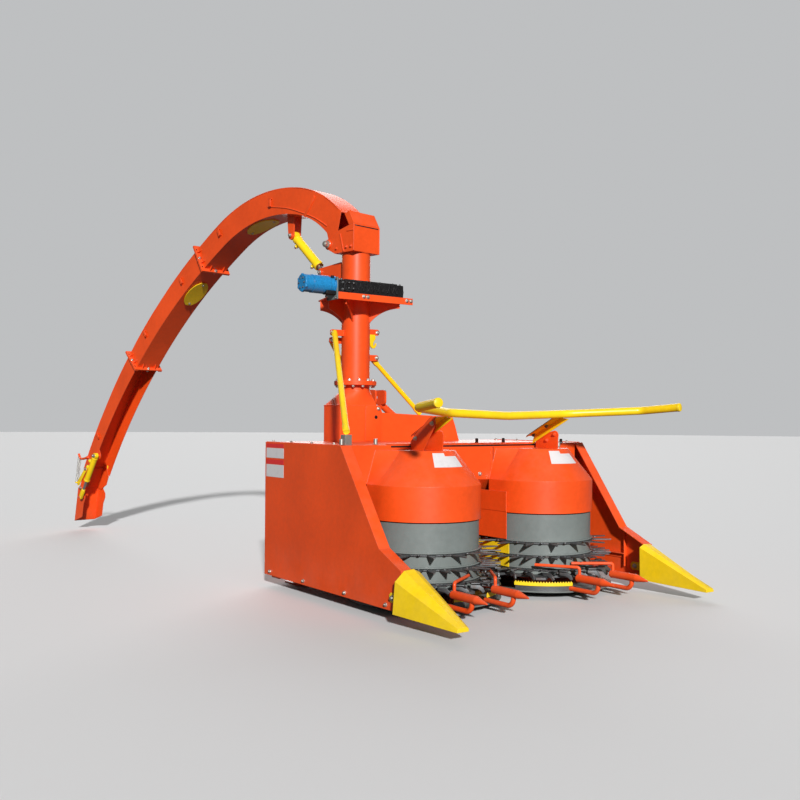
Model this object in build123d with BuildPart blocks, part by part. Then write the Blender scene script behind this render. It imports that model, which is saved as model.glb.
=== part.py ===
"""Two-rotor mounted forage harvester, built as separate pieces on one frame.

Millimetres, +Z up. The crop enters at the front, -Y, and the tractor hitches at the rear, +Y.
The origin is on the ground, midway between the two rotor axes. The discharge spout lies in its
own upright plane through the tower axis: there s runs back along the spout and z runs up.
"""
import os
from math import cos, hypot, radians, sin, sqrt

from build123d import *

os.makedirs("parts", exist_ok=True)

# ---------------------------------------------------------------- driving dimensions
SIDES = (("left", -1), ("right", 1))

RUN_GAP = 5.0            # between pieces that move past each other
PIN_FIT = 0.08           # radial, between a pin and the bore that turns on it
SEAT_GAP = 0.3           # between a collar and what it sits round

ROTOR_PITCH = 800.0      # between the two rotor axes
HALF_WIDTH = 841.0       # centre line to the outer face of a side panel
SHEET = 4.0              # side panels, walls, deck
COVER_SHEET = 3.0        # hoods, covers and spout
GROUND_CLEARANCE = 64.0  # under the side panels
DECK_Z = 793.0           # top of the deck and of the side panels
PANEL_NOSE_Y = -417.0    # front edge of the side panels
REAR_Y = 885.0           # rear edge of the side panels
WALL_Y = 99.0            # front face of the upright front wall
BROW_Z = 600.0           # where the front wall turns back, and the hood cone starts

DISH_SOLE_RADIUS = 230.0
DISH_RADIUS = 388.0
DISH_LIP = 13.0
DISH_HEIGHT = 42.0
DISH_PLATE = 5.0
DRUM_RADIUS = 276.0
DRUM_BOTTOM_Z = 112.0
DRUM_TOP_Z = 424.0
DISC_RADIUS = 388.0      # to the tips of the teeth
DISC_ROOT_RADIUS = 290.0
DISC_PLATE = 6.0
DISC_LEVELS = (275.0, 206.0, 137.0)
DISC_TEETH = (15, 30, 15)       # on each level, in the same order
DISC_TOOTH_WIDTH = 48.0         # of a tooth at its root
KNIFE_Z = 104.0
KNIFE_RADIUS = 390.0
KNIFE_COUNT = 8
SPINDLE_RADIUS = 30.0
COLUMN_RADIUS = 70.0

HOOD_RADIUS = 286.0
HOOD_BOTTOM_Z = 430.0
HOOD_TOP_Z = 768.0
HOOD_TOP_RADIUS = 154.0
HOOD_TOP_SPREAD = 235.0  # half width of the hood's top at the wall

THROAT_HALF = 112.0      # inner face of the throat walls
THROAT_TOP_Z = 541.0
CHOPPER_FRONT_Y = 560.0
CHOPPER_REAR_Y = 935.0
CHOPPER_HALF = 436.0
CHOPPER_BOTTOM_Z = 92.0
CHOPPER_DRUM_RADIUS = 120.0
CHOPPER_AXIS = (748.0, 400.0)   # y, z
COVER_FRONT_Y = 757.0
COVER_TOP_Z = DECK_Z + 208.0    # of its raised left part

TOWER = (-278.0, 844.0)  # x, y of the discharge tower's axis
TOWER_RADIUS = 84.0
TOWER_WALL = 5.0
TOWER_JOINT_Z = COVER_TOP_Z + 132.0     # bolted joint between tower base and lower tower
TOWER_FLANGE_RADIUS = 125.0
BASE_NECK = 43.0         # round length at the top of the tower base
TRAY_Z = 1630.0          # top of the slew tray
SLEW_HEIGHT = 70.0
SLEW_RADIUS = 178.0
ELBOW_Z = 1894.0         # underside of the elbow box

SPOUT_HEADING = 10.0     # degrees that the spout points left of straight back
SPOUT_WIDTH = 178.0
SPOUT_DEPTH = 165.0
CROWN = (696.0, 1065.0)  # s, z of the centre of the spout's crown arc
CROWN_RADIUS = 1311.0    # to the outer plate, as the next two
NECK_RADIUS = 790.0
REACH_RADIUS = 4609.0
NECK_JOIN = 101.7        # degrees on the crown arc where neck and reach take over
REACH_JOIN = 63.4
LIFT_PIVOT = (132.0, 1955.0)
LIFT_PIN_RADIUS = 12.0
LIFT_DRIFT = 5.0         # clearance of the lift rod's open pivot
LIFT_BARREL_EYE = (575.0, 2079.0)
LIFT_ROD_EYE = (285.0, 1814.0)

PTO_Z = 560.0
HITCH_Y = 1090.0
HITCH_PIN_Z = 450.0
HITCH_HALF_SPREAD = 412.5
HITCH_MAST = 610.0
LOWER_PIN_RADIUS = 14.0
TOP_PIN_RADIUS = 12.75


# ---------------------------------------------------------------- shared helpers
def save(piece, node):
    """Label a finished piece and write it as its own STEP file."""
    piece.part.label = node
    export_step(piece.part, f"parts/{node}.step")


def spout_plane(offset=0.0):
    """Upright plane of the spout: x is s, y is z, moved sideways by offset."""
    heading = radians(SPOUT_HEADING)
    normal = Vector(cos(heading), sin(heading), 0)
    origin = Vector(TOWER[0], TOWER[1], 0) + normal * offset
    return Plane(origin=origin, x_dir=(-sin(heading), cos(heading), 0), z_dir=normal)


def across(offset):
    """Plane that looks along +X at x = offset: its x is the machine's Y, its y is Z."""
    return Plane(origin=(offset, 0, 0), x_dir=(0, 1, 0), z_dir=(1, 0, 0))


def along(offset):
    """Plane that looks along -Y at y = offset: its x is the machine's X, its y is Z."""
    return Plane(origin=(0, offset, 0), x_dir=(1, 0, 0), z_dir=(0, -1, 0))


def level(height, x=0.0, y=0.0):
    """Level plane at a height, centred on x, y."""
    return Plane(origin=(x, y, height))


def strut_plane(start, end):
    """Plane square to the line from start to end, at start."""
    return Plane(origin=start, z_dir=Vector(end) - Vector(start))


def cylinder_plane(start, end):
    """Like strut_plane, with its x along the spout plane's normal."""
    return Plane(origin=start, x_dir=spout_plane().z_dir, z_dir=Vector(end) - Vector(start))


def reach(start, end):
    """Distance between two points."""
    return (Vector(end) - Vector(start)).length


# ---------------------------------------------------------------- base
def base_frame():
    """Longitudinal arms with the rotor columns and spindles, and the rear cross beam."""
    with BuildPart() as frame:
        for _, sign in SIDES:
            x = sign * ROTOR_PITCH / 2
            with BuildSketch(level(DISH_HEIGHT, x, REAR_Y / 2)):
                Rectangle(120, REAR_Y)
            extrude(amount=CHOPPER_BOTTOM_Z - DISH_HEIGHT)
            with BuildSketch(level(DISH_PLATE, x, 0)):
                Circle(COLUMN_RADIUS)
            extrude(amount=KNIFE_Z - RUN_GAP - 4 - DISH_PLATE)
            with BuildSketch(level(DISH_HEIGHT, x, 0)):
                Circle(SPINDLE_RADIUS)
            extrude(amount=DRUM_BOTTOM_Z + 120 - DISH_HEIGHT)
        with BuildSketch(level(DISH_HEIGHT, 0, REAR_Y - 45)):
            Rectangle(2 * (HALF_WIDTH - SHEET - 40), 90)
        extrude(amount=CHOPPER_BOTTOM_Z - DISH_HEIGHT)
    save(frame, "base_frame")


def rotor_dish(side, sign):
    """Turned sole plate under a rotor: flat on the ground, with a sloping rim and a lip."""
    rim = DISH_RADIUS - DISH_LIP
    with BuildPart() as dish:
        with BuildSketch(Plane(origin=(sign * ROTOR_PITCH / 2, 0, 0), x_dir=(1, 0, 0), z_dir=(0, -1, 0))):
            Polygon(
                (0, 0), (DISH_SOLE_RADIUS, 0), (rim, DISH_HEIGHT - DISH_PLATE),
                (DISH_RADIUS, DISH_HEIGHT - DISH_PLATE), (DISH_RADIUS, DISH_HEIGHT),
                (rim - 2, DISH_HEIGHT), (DISH_SOLE_RADIUS - 2, DISH_PLATE), (0, DISH_PLATE), align=None,
            )
        revolve(axis=Axis((sign * ROTOR_PITCH / 2, 0, 0), (0, 0, 1)))
    save(dish, f"rotor_dish_{side}")


def throat_floor():
    """Floor plate behind the rotors' meeting point, with the centre skid under it."""
    half = ROTOR_PITCH / 2 - 60
    with BuildPart() as floor:
        with BuildSketch(level(DISH_HEIGHT)):
            Polygon((-8, -60), (8, -60), (half, 300), (half, CHOPPER_FRONT_Y), (-half, CHOPPER_FRONT_Y),
                    (-half, 300), align=None)
        extrude(amount=SHEET)
        with BuildSketch(level(0, 0, 300)):
            Rectangle(16, 720)
        extrude(amount=DISH_HEIGHT)
    save(floor, "throat_floor")


def rear_stand(side, sign):
    """Parking foot under the rear cross beam."""
    x = sign * 640.0
    with BuildPart() as stand:
        with BuildSketch(level(0, x, REAR_Y - 45)):
            RectangleRounded(120, 160, 20)
        extrude(amount=8)
        with BuildSketch(level(8, x, REAR_Y - 45)):
            Rectangle(60, 60)
        extrude(amount=DISH_HEIGHT - 8)
    save(stand, f"rear_stand_{side}")


# ---------------------------------------------------------------- body panels
PANEL_OUTLINE = (  # y, z
    (REAR_Y, GROUND_CLEARANCE), (REAR_Y, DECK_Z), (WALL_Y, DECK_Z), (-241, 330), (PANEL_NOSE_Y, 249),
    (PANEL_NOSE_Y, GROUND_CLEARANCE),
)


def side_panel(side, sign):
    """Outer side sheet with the folded flange along its sloping front edge."""
    inner = HALF_WIDTH - SHEET
    with BuildPart() as panel:
        with BuildSketch(across(sign * inner)):
            Polygon(*PANEL_OUTLINE, align=None)
        extrude(amount=sign * SHEET)
        with BuildSketch(across(sign * (inner - 58))):
            with BuildLine():
                Polyline((WALL_Y, DECK_Z), (-241, 330), (PANEL_NOSE_Y, 249), (PANEL_NOSE_Y, 244.5),
                         (-239, 326), (WALL_Y + 4.5, DECK_Z - 4), (WALL_Y + 4.5, DECK_Z), (WALL_Y, DECK_Z))
            make_face()
        extrude(amount=sign * 58)
        with BuildSketch(level(GROUND_CLEARANCE)):
            with Locations((sign * (inner - 20), (REAR_Y - 400) / 2)):
                Rectangle(40, REAR_Y + 400)
        extrude(amount=SHEET)
    save(panel, f"side_panel_{side}")


def deck_plate():
    """Top deck, with the opening that leads up into the tower base."""
    inner = HALF_WIDTH - SHEET
    with BuildPart() as deck:
        with BuildSketch(level(DECK_Z - SHEET)):
            Polygon((-inner, WALL_Y + SHEET + 1), (inner, WALL_Y + SHEET + 1), (inner, REAR_Y),
                    (CHOPPER_HALF, REAR_Y),
                    (CHOPPER_HALF, CHOPPER_REAR_Y), (-CHOPPER_HALF, CHOPPER_REAR_Y), (-CHOPPER_HALF, REAR_Y),
                    (-inner, REAR_Y), align=None)
            with Locations(((TOWER[0] - 30), TOWER[1])):
                Rectangle(220, 150, mode=Mode.SUBTRACT)
        extrude(amount=SHEET)
    save(deck, "deck_plate")


def front_wall():
    """Upright wall under the deck's front edge, turning back above the crop's path."""
    inner = HALF_WIDTH - SHEET - 60
    with BuildPart() as wall:
        with BuildSketch(across(-inner)):
            Polygon((WALL_Y, DECK_Z), (WALL_Y, BROW_Z), (260, 470), (264, 472), (WALL_Y + SHEET, BROW_Z + 2),
                    (WALL_Y + SHEET, DECK_Z), align=None)
        extrude(amount=2 * inner)
        with BuildSketch(level(450, 0, 280)):
            Rectangle(2 * (THROAT_HALF + SEAT_GAP), 360)
        extrude(amount=THROAT_TOP_Z + SHEET + SEAT_GAP - 450, mode=Mode.SUBTRACT)
    save(wall, "front_wall")


def throat_roof():
    """Plate that closes the throat's top ahead of the chopper."""
    with BuildPart() as roof:
        with BuildSketch(level(THROAT_TOP_Z, 0, (WALL_Y + 60 + CHOPPER_FRONT_Y) / 2)):
            Rectangle(2 * THROAT_HALF, CHOPPER_FRONT_Y - WALL_Y - 60)
        extrude(amount=SHEET)
    save(roof, "throat_roof")


def rear_wall():
    """Sheets that close the rear on both sides of the chopper housing."""
    with BuildPart() as wall:
        for _, sign in SIDES:
            width = HALF_WIDTH - SHEET - CHOPPER_HALF
            with BuildSketch(along(REAR_Y)):
                with Locations((sign * (CHOPPER_HALF + width / 2), (DECK_Z - SHEET + CHOPPER_BOTTOM_Z) / 2)):
                    Rectangle(width, DECK_Z - SHEET - CHOPPER_BOTTOM_Z)
            extrude(amount=SHEET)
    save(wall, "rear_wall")


def hood_outline(radius, spread, inset=0.0):
    """Half-round front that runs back to the wall, as a level face."""
    r = radius - inset
    w = spread - inset
    with BuildSketch() as outline:
        with BuildLine():
            CenterArc((0, 0), r, 180, 180)
            Polyline((r, 0), (w, WALL_Y), (-w, WALL_Y), (-r, 0))
        make_face()
    return outline.sketch


def rotor_hood(side, sign):
    """Fixed hood over a rotor: a thin shell, open below and at the wall."""
    x = sign * ROTOR_PITCH / 2
    with BuildPart() as hood:
        for inset, mode in ((0.0, Mode.ADD), (COVER_SHEET, Mode.SUBTRACT)):
            with BuildSketch(level(HOOD_BOTTOM_Z, x)):
                add(hood_outline(HOOD_RADIUS, HOOD_RADIUS, inset))
            extrude(amount=BROW_Z - HOOD_BOTTOM_Z, mode=mode)
            with BuildSketch(level(BROW_Z, x)):
                add(hood_outline(HOOD_RADIUS, HOOD_RADIUS, inset))
            with BuildSketch(level(HOOD_TOP_Z - inset, x)):
                add(hood_outline(HOOD_TOP_RADIUS, HOOD_TOP_SPREAD, inset))
            loft(mode=mode)
    save(hood, f"rotor_hood_{side}")


# ---------------------------------------------------------------- throat and chopper
def throat_wall(side, sign):
    """Upright plate beside the throat, ahead of the chopper and above the discs."""
    floor = DISH_HEIGHT + SHEET
    disc_top = DISC_LEVELS[0] + DISC_PLATE / 2 + RUN_GAP
    with BuildPart() as wall:
        with BuildSketch(across(sign * THROAT_HALF)):
            Polygon((276, floor), (276, disc_top + 6), (-50, disc_top + 6), (-50, THROAT_TOP_Z),
                    (CHOPPER_FRONT_Y, THROAT_TOP_Z), (CHOPPER_FRONT_Y, floor), align=None)
        extrude(amount=-sign * SHEET)
        with BuildSketch(across(sign * (THROAT_HALF - SHEET))):
            with Locations((100, 487.5)):
                Rectangle(300, 107)
        extrude(amount=-sign * 2)
    save(wall, f"throat_wall_{side}")


def stripper(side, sign):
    """Two plates that reach in between the discs and clear the crop off the drum."""
    with BuildPart() as plates:
        for upper, lower in zip(DISC_LEVELS[:-1], DISC_LEVELS[1:]):
            gap = RUN_GAP + DISC_PLATE / 2
            with BuildSketch(across(sign * (THROAT_HALF - SHEET))):
                with Locations((130, (upper + lower) / 2)):
                    Rectangle(410, upper - lower - 2 * gap)
            extrude(amount=-sign * SHEET)
    save(plates, f"stripper_{side}")


def chopper_housing():
    """Sheet housing round the chopping drum, with its inlet from the throat."""
    top = DECK_Z - SHEET
    height = top - CHOPPER_BOTTOM_Z
    length = CHOPPER_REAR_Y - CHOPPER_FRONT_Y
    with BuildPart() as housing:
        with BuildSketch(level(CHOPPER_BOTTOM_Z, 0, (CHOPPER_FRONT_Y + CHOPPER_REAR_Y) / 2)):
            Rectangle(2 * CHOPPER_HALF, length)
        extrude(amount=height)
        with BuildSketch(level(CHOPPER_BOTTOM_Z + SHEET, 0, (CHOPPER_FRONT_Y + CHOPPER_REAR_Y) / 2)):
            Rectangle(2 * (CHOPPER_HALF - SHEET), length - 2 * SHEET)
        extrude(amount=height - SHEET, mode=Mode.SUBTRACT)
        with BuildSketch(along(CHOPPER_FRONT_Y + SHEET)):
            with Locations((0, 330)):
                Rectangle(2 * (THROAT_HALF - SHEET), 400)
        extrude(amount=SHEET, mode=Mode.SUBTRACT)
    save(housing, "chopper_housing")


def chopper_drum():
    """The chopping and throwing drum, as one plain mass on its shaft."""
    inner = CHOPPER_HALF - SHEET
    with BuildPart() as drum:
        with BuildSketch(across(-inner + 60)):
            with Locations(CHOPPER_AXIS):
                Circle(CHOPPER_DRUM_RADIUS)
        extrude(amount=2 * inner - 120)
        with BuildSketch(across(-inner)):
            with Locations(CHOPPER_AXIS):
                Circle(30)
        extrude(amount=2 * inner)
    save(drum, "chopper_drum")


def blower_cover():
    """Raised cover behind the deck, whose left part carries the tower."""
    outline = ((-CHOPPER_HALF, DECK_Z), (-CHOPPER_HALF, COVER_TOP_Z), (-164, COVER_TOP_Z),
               (-144, COVER_TOP_Z - 39), (383, COVER_TOP_Z - 61), (403, COVER_TOP_Z - 108),
               (CHOPPER_HALF, DECK_Z))
    with BuildPart() as cover:
        with BuildSketch(along(COVER_FRONT_Y)) as face:
            Polygon(*outline, align=None)
        extrude(amount=-(CHOPPER_REAR_Y - COVER_FRONT_Y))
        with BuildSketch(along(COVER_FRONT_Y + COVER_SHEET)):
            offset(face.sketch_local, amount=-COVER_SHEET, kind=Kind.INTERSECTION)
        extrude(amount=-(CHOPPER_REAR_Y - COVER_FRONT_Y - 2 * COVER_SHEET), mode=Mode.SUBTRACT)
        with BuildSketch(level(DECK_Z)):
            with Locations((0, (COVER_FRONT_Y + CHOPPER_REAR_Y) / 2)):
                Rectangle(2 * CHOPPER_HALF - 40, CHOPPER_REAR_Y - COVER_FRONT_Y - 2 * COVER_SHEET)
        extrude(amount=COVER_SHEET, mode=Mode.SUBTRACT)
        with BuildSketch(level(COVER_TOP_Z - COVER_SHEET, TOWER[0] - 24, TOWER[1] + 2)):
            Rectangle(220, 150)
        extrude(amount=COVER_SHEET, mode=Mode.SUBTRACT)
    save(cover, "blower_cover")


# ---------------------------------------------------------------- tower
def tower_base():
    """Square-to-round transition from the cover up to the bolted tower joint."""
    with BuildPart() as base:
        for wall, mode in ((0.0, Mode.ADD), (TOWER_WALL, Mode.SUBTRACT)):
            with BuildSketch(level(COVER_TOP_Z, (-CHOPPER_HALF - 180) / 2, 846)):
                Rectangle(CHOPPER_HALF - 180 - 2 * wall, 172 - 2 * wall)
            with BuildSketch(level(TOWER_JOINT_Z - BASE_NECK, *TOWER)):
                Circle(TOWER_RADIUS - wall)
            loft(mode=mode)
            with BuildSketch(level(TOWER_JOINT_Z - BASE_NECK, *TOWER)):
                Circle(TOWER_RADIUS - wall)
            extrude(amount=BASE_NECK, mode=mode)
        with BuildSketch(level(TOWER_JOINT_Z - 12, *TOWER)):
            Circle(TOWER_FLANGE_RADIUS)
            Circle(TOWER_RADIUS - TOWER_WALL, mode=Mode.SUBTRACT)
        extrude(amount=12)
    save(base, "tower_base")


BRACE_LUGS = (  # x past the tube, y, drop from the tray
    (-41, 5, 206), (-14, 60, 246), (31, 5, 190), (26, 5, 343),
)


def lower_tower():
    """Fixed tower tube with its bottom flange and the lugs that the braces hold."""
    top = TRAY_Z - 8
    with BuildPart() as tube:
        with BuildSketch(level(TOWER_JOINT_Z, *TOWER)):
            Circle(TOWER_RADIUS)
        extrude(amount=top - TOWER_JOINT_Z)
        with BuildSketch(level(TOWER_JOINT_Z, *TOWER)):
            Circle(TOWER_FLANGE_RADIUS)
        extrude(amount=12)
        for past_face, lug_y, drop in BRACE_LUGS:
            lug_x = past_face + (TOWER_RADIUS if past_face > 0 else -TOWER_RADIUS)
            with BuildSketch(along(TOWER[1] + lug_y)):
                with Locations((TOWER[0] + lug_x, TRAY_Z - drop)):
                    RectangleRounded(96, 36, 12)
            extrude(amount=10)
        with BuildSketch(level(TOWER_JOINT_Z, *TOWER)):
            Circle(TOWER_RADIUS - TOWER_WALL)
        extrude(amount=top - TOWER_JOINT_Z, mode=Mode.SUBTRACT)
    save(tube, "lower_tower")


BRACE_TOPS = {  # against the tower's lugs
    "left": (TOWER[0] - TOWER_RADIUS - 72, TOWER[1] - 16.7, TRAY_Z - 206),
    "right": (TOWER[0] + TOWER_RADIUS + 44, TOWER[1] + 19.3, TRAY_Z - 343),
    "rear": (TOWER[0] - TOWER_RADIUS - 38, TOWER[1] + 79, TRAY_Z - 246),
}
MAST_FOOT = (330.0, CHOPPER_REAR_Y + 40, DECK_Z - 30)
MAST_HEAD = (36.0, HITCH_Y - 40, HITCH_PIN_Z + HITCH_MAST - 35)
MAST_RADIUS = 22.0
MAST_FORK_HALF = 30.0    # inside the fork for the top link


def rear_brace_foot():
    """End of the rear brace, against the side of the left mast leg."""
    foot = Vector(-MAST_FOOT[0], MAST_FOOT[1], MAST_FOOT[2])
    head = Vector(-MAST_HEAD[0], MAST_HEAD[1], MAST_HEAD[2])
    held = foot + (head - foot) * 0.85
    run = held - Vector(*BRACE_TOPS["rear"])
    return held - run.normalized() * (MAST_RADIUS + 0.3)


TOWER_BRACES = (  # side, foot, radius
    ("left", (-775, 150, DECK_Z + 65), 16),
    ("right", (212, 863.3, COVER_TOP_Z - 42.6), 14),
    ("rear", tuple(rear_brace_foot()), 14),
)


def tower_brace(side, foot, radius):
    """Straight tubular brace between a tower lug and its foot."""
    top = BRACE_TOPS[side]
    with BuildPart() as brace:
        with BuildSketch(strut_plane(foot, top)):
            Circle(radius)
        extrude(amount=reach(foot, top))
    save(brace, f"tower_brace_{side}")


def brace_feet():
    """Upright lugs on deck and cover that the braces' feet are held by."""
    with BuildPart() as feet:
        with BuildSketch(level(DECK_Z, -775, 150)):
            Rectangle(40, 40)
        extrude(amount=51.8)
    save(feet, "brace_foot")


TRAY_CORNERS = ((-255, -218), (255, -218), (140, 196), (-140, 196))   # x, y from the tower's axis
TRAY_GUSSETS = ((0, 186), (45, 215), (135, 215), (180, 186), (225, 262), (315, 262))   # angle, reach
TRAY_PLATE = 8.0
TRAY_LIP = 38.0


def slew_tray():
    """Plate that carries the slewing drive, with a folded front lip and gussets to the tower."""
    x, y = TOWER
    plate_z = TRAY_Z - TRAY_PLATE
    front_y = TRAY_CORNERS[0][1]
    with BuildPart() as tray:
        with BuildSketch(level(plate_z, x, y)):
            Polygon(*TRAY_CORNERS, align=None)
            Circle(TOWER_RADIUS - TOWER_WALL, mode=Mode.SUBTRACT)
        extrude(amount=TRAY_PLATE)
        with BuildSketch(level(TRAY_Z - TRAY_LIP, x, y + front_y + 3)):
            Rectangle(2 * TRAY_CORNERS[1][0], 6)
        extrude(amount=TRAY_LIP - TRAY_PLATE)
        for angle, outer in TRAY_GUSSETS:
            turn = radians(angle)
            with BuildSketch(Plane(origin=(x, y, 0), x_dir=(cos(turn), sin(turn), 0),
                                   z_dir=(sin(turn), -cos(turn), 0))):
                with BuildLine():
                    low = 1570 - (262 - outer) * 0.12
                    Polyline((TOWER_RADIUS, 1488), (TOWER_RADIUS, plate_z), (outer, plate_z), (outer, low))
                    ThreePointArc((outer, low), (148, 1541), (TOWER_RADIUS, 1488))
                make_face()
            extrude(amount=4, both=True)
        with BuildSketch(level(1480, *TOWER)):
            Circle(TOWER_RADIUS + 0.1)
        extrude(amount=plate_z - 1480, mode=Mode.SUBTRACT)
    save(tray, "slew_tray")


WORM_END = -533.0         # left end of the worm housing
WORM_Y = 680.0


def slew_drive():
    """Fixed housing of the worm-driven slewing ring."""
    x, y = TOWER
    with BuildPart() as drive:
        with BuildSketch(level(TRAY_Z)):
            with Locations((x, y)):
                Circle(SLEW_RADIUS)
            with Locations(((WORM_END - 82) / 2, WORM_Y)):
                RectangleRounded(-82 - WORM_END, 92, 8)
            with Locations((x, y)):
                Circle(TOWER_RADIUS + PIN_FIT, mode=Mode.SUBTRACT)
        extrude(amount=SLEW_HEIGHT)
    save(drive, "slew_drive")


def slew_motor():
    """Hydraulic motor on the end of the worm housing."""
    z = TRAY_Z + 38
    with BuildPart() as motor:
        start = WORM_END
        for length, radius in ((12, 54), (30, 46), (104, 51), (56, 48)):
            with BuildSketch(Plane(origin=(start, WORM_Y, z), z_dir=(-1, 0, 0))):
                Circle(radius)
            extrude(amount=length)
            start -= length
    save(motor, "slew_motor")


def upper_tower():
    """Turning tube above the slewing ring, with the lift cylinder's twin ears."""
    base = TRAY_Z + RUN_GAP
    with BuildPart() as tube:
        with BuildSketch(level(base, *TOWER)):
            Circle(TOWER_RADIUS)
        extrude(amount=ELBOW_Z - base)
        with BuildSketch(level(TRAY_Z + SLEW_HEIGHT + 0.5, *TOWER)):
            Circle(118)
        extrude(amount=12)
        for offset_n in (-26, 26):
            with BuildSketch(spout_plane(offset_n)):
                with BuildLine():
                    s, z = LIFT_ROD_EYE
                    Polyline((60, z + 46), (s, z + 26))
                    ThreePointArc((s, z + 26), (s + 26, z), (s, z - 26))
                    Polyline((s, z - 26), (60, z - 62), (60, z + 46))
                make_face()
            extrude(amount=4, both=True)
        with BuildSketch(spout_plane()):
            with Locations(LIFT_ROD_EYE):
                Circle(LIFT_PIN_RADIUS)
        extrude(amount=40, both=True)
        with BuildSketch(level(base, *TOWER)):
            Circle(TOWER_RADIUS - TOWER_WALL)
        extrude(amount=ELBOW_Z - base, mode=Mode.SUBTRACT)
    save(tube, "upper_tower")


BOX_HALF = 102.0          # half the width of the elbow box
BOX_PLATE = 6.0
BOX_FRONT_S = -88.0
BOX_TOP_Z = 2056.0
EAR_RADIUS = 32.0


def elbow_box():
    """Open-backed box on the turning tube, whose ears hold the spout's hinge bolts."""
    s, z = LIFT_PIVOT
    with BuildPart() as box:
        for offset_n in (-BOX_HALF + BOX_PLATE / 2, BOX_HALF - BOX_PLATE / 2):
            with BuildSketch(spout_plane(offset_n)):
                with BuildLine():
                    Polyline((s - 18, z + 27), (46, 2026), (BOX_FRONT_S, BOX_TOP_Z), (BOX_FRONT_S, ELBOW_Z),
                             (76, ELBOW_Z), (s, z - EAR_RADIUS))
                    ThreePointArc((s, z - EAR_RADIUS), (s + 31, z + 8), (s - 18, z + 27))
                make_face()
            extrude(amount=BOX_PLATE / 2, both=True)
        with BuildSketch(spout_plane()):
            Polygon((BOX_FRONT_S, ELBOW_Z), (BOX_FRONT_S, BOX_TOP_Z), (BOX_FRONT_S + 4, BOX_TOP_Z),
                    (BOX_FRONT_S + 4, ELBOW_Z + 6), (76, ELBOW_Z + 6), (76, ELBOW_Z), align=None)
        extrude(amount=BOX_HALF - BOX_PLATE, both=True)
        with BuildSketch(level(ELBOW_Z, *TOWER)):
            Circle(TOWER_RADIUS - TOWER_WALL)
        extrude(amount=6, mode=Mode.SUBTRACT)
        for sign in (-1, 1):
            with BuildSketch(spout_plane(sign * (BOX_HALF + 8))):
                with Locations(LIFT_PIVOT):
                    Circle(LIFT_PIN_RADIUS)
            extrude(amount=-sign * (BOX_HALF + 8 - SPOUT_WIDTH / 2 + 10))
    save(box, "elbow_box")


def elbow_cap():
    """Sloping cover plate on the elbow box's front edge, with narrow side skirts."""
    with BuildPart() as cap:
        with BuildSketch(spout_plane()):
            Polygon((BOX_FRONT_S, BOX_TOP_Z), (-45, 2132), (-41, 2132), (BOX_FRONT_S + 4, BOX_TOP_Z),
                    align=None)
        extrude(amount=BOX_HALF, both=True)
        for sign in (-1, 1):
            with BuildSketch(spout_plane(sign * BOX_HALF)):
                Polygon((BOX_FRONT_S, BOX_TOP_Z), (-45, 2132), (-8, 2118),
                        (BOX_FRONT_S + 40, BOX_TOP_Z - 8), align=None)
            extrude(amount=-sign * COVER_SHEET)
    save(cap, "elbow_cap")


# ---------------------------------------------------------------- spout
def polar(centre, radius, angle):
    """Point at an angle in degrees on a circle."""
    return (centre[0] + radius * cos(radians(angle)), centre[1] + radius * sin(radians(angle)))


NECK = polar(CROWN, CROWN_RADIUS - NECK_RADIUS, NECK_JOIN)
REACH = polar(CROWN, CROWN_RADIUS - REACH_RADIUS, REACH_JOIN)
SPOUT_ARCS = {  # centre and outer radius of each stretch
    "neck": (NECK, NECK_RADIUS),
    "crown": (CROWN, CROWN_RADIUS),
    "reach": (REACH, REACH_RADIUS),
}
SPOUT_SECTIONS = (  # node, stretches (arc, start angle, end angle), depth at start and end, open below
    ("spout_section_1", (("neck", 134.5, NECK_JOIN), ("crown", NECK_JOIN, REACH_JOIN),
                         ("reach", REACH_JOIN, 59.8)), (165.0, 165.0), False),
    ("spout_section_2", (("reach", 59.8, 45.6),), (165.0, 150.0), False),
    ("spout_section_3", (("reach", 45.6, 31.2),), (150.0, 118.0), True),
)


def spout_edge(stretches, depths, inset, outer):
    """Arcs of a section's outer or inner edge, in order from start to end."""
    total = sum(abs(end - start) * SPOUT_ARCS[arc][1] for arc, start, end in stretches)
    run = 0.0
    for arc, start, end in stretches:
        centre, radius = SPOUT_ARCS[arc]
        points = []
        for share in (0.0, 0.5, 1.0):
            angle = start + (end - start) * share
            along_run = (run + abs(end - start) * radius * share) / total
            depth = depths[0] + (depths[1] - depths[0]) * along_run
            below = inset if outer else depth - inset
            points.append(polar(centre, radius - below, angle))
        run += abs(end - start) * radius
        yield points


def spout_face(stretches, depths, inset=0.0, extra=0.0):
    """Side view of a spout section as a flat face in s and z."""
    outer = list(spout_edge(stretches, depths, inset, True))
    inner = list(spout_edge(stretches, depths, inset - extra, False))
    with BuildSketch() as side_view:
        with BuildLine():
            for points in outer + inner:
                ThreePointArc(*points)
            Line(outer[0][0], inner[0][0])
            Line(outer[-1][2], inner[-1][2])
        make_face()
    return side_view.sketch


def crown_under(s):
    """Height inside the crown's lower sheet at s."""
    return CROWN[1] + sqrt((CROWN_RADIUS - SPOUT_DEPTH) ** 2 - (s - CROWN[0]) ** 2) + COVER_SHEET / 2


def collar_corners(angle, step, depth):
    """Corners of the collar at the end of a section, in s and z."""
    centre, radius = SPOUT_ARCS["reach"]
    return (polar(centre, radius + 26, angle), polar(centre, radius - depth - 26, angle),
            polar(centre, radius - depth - 26, angle + step), polar(centre, radius + 26, angle + step))


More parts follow.
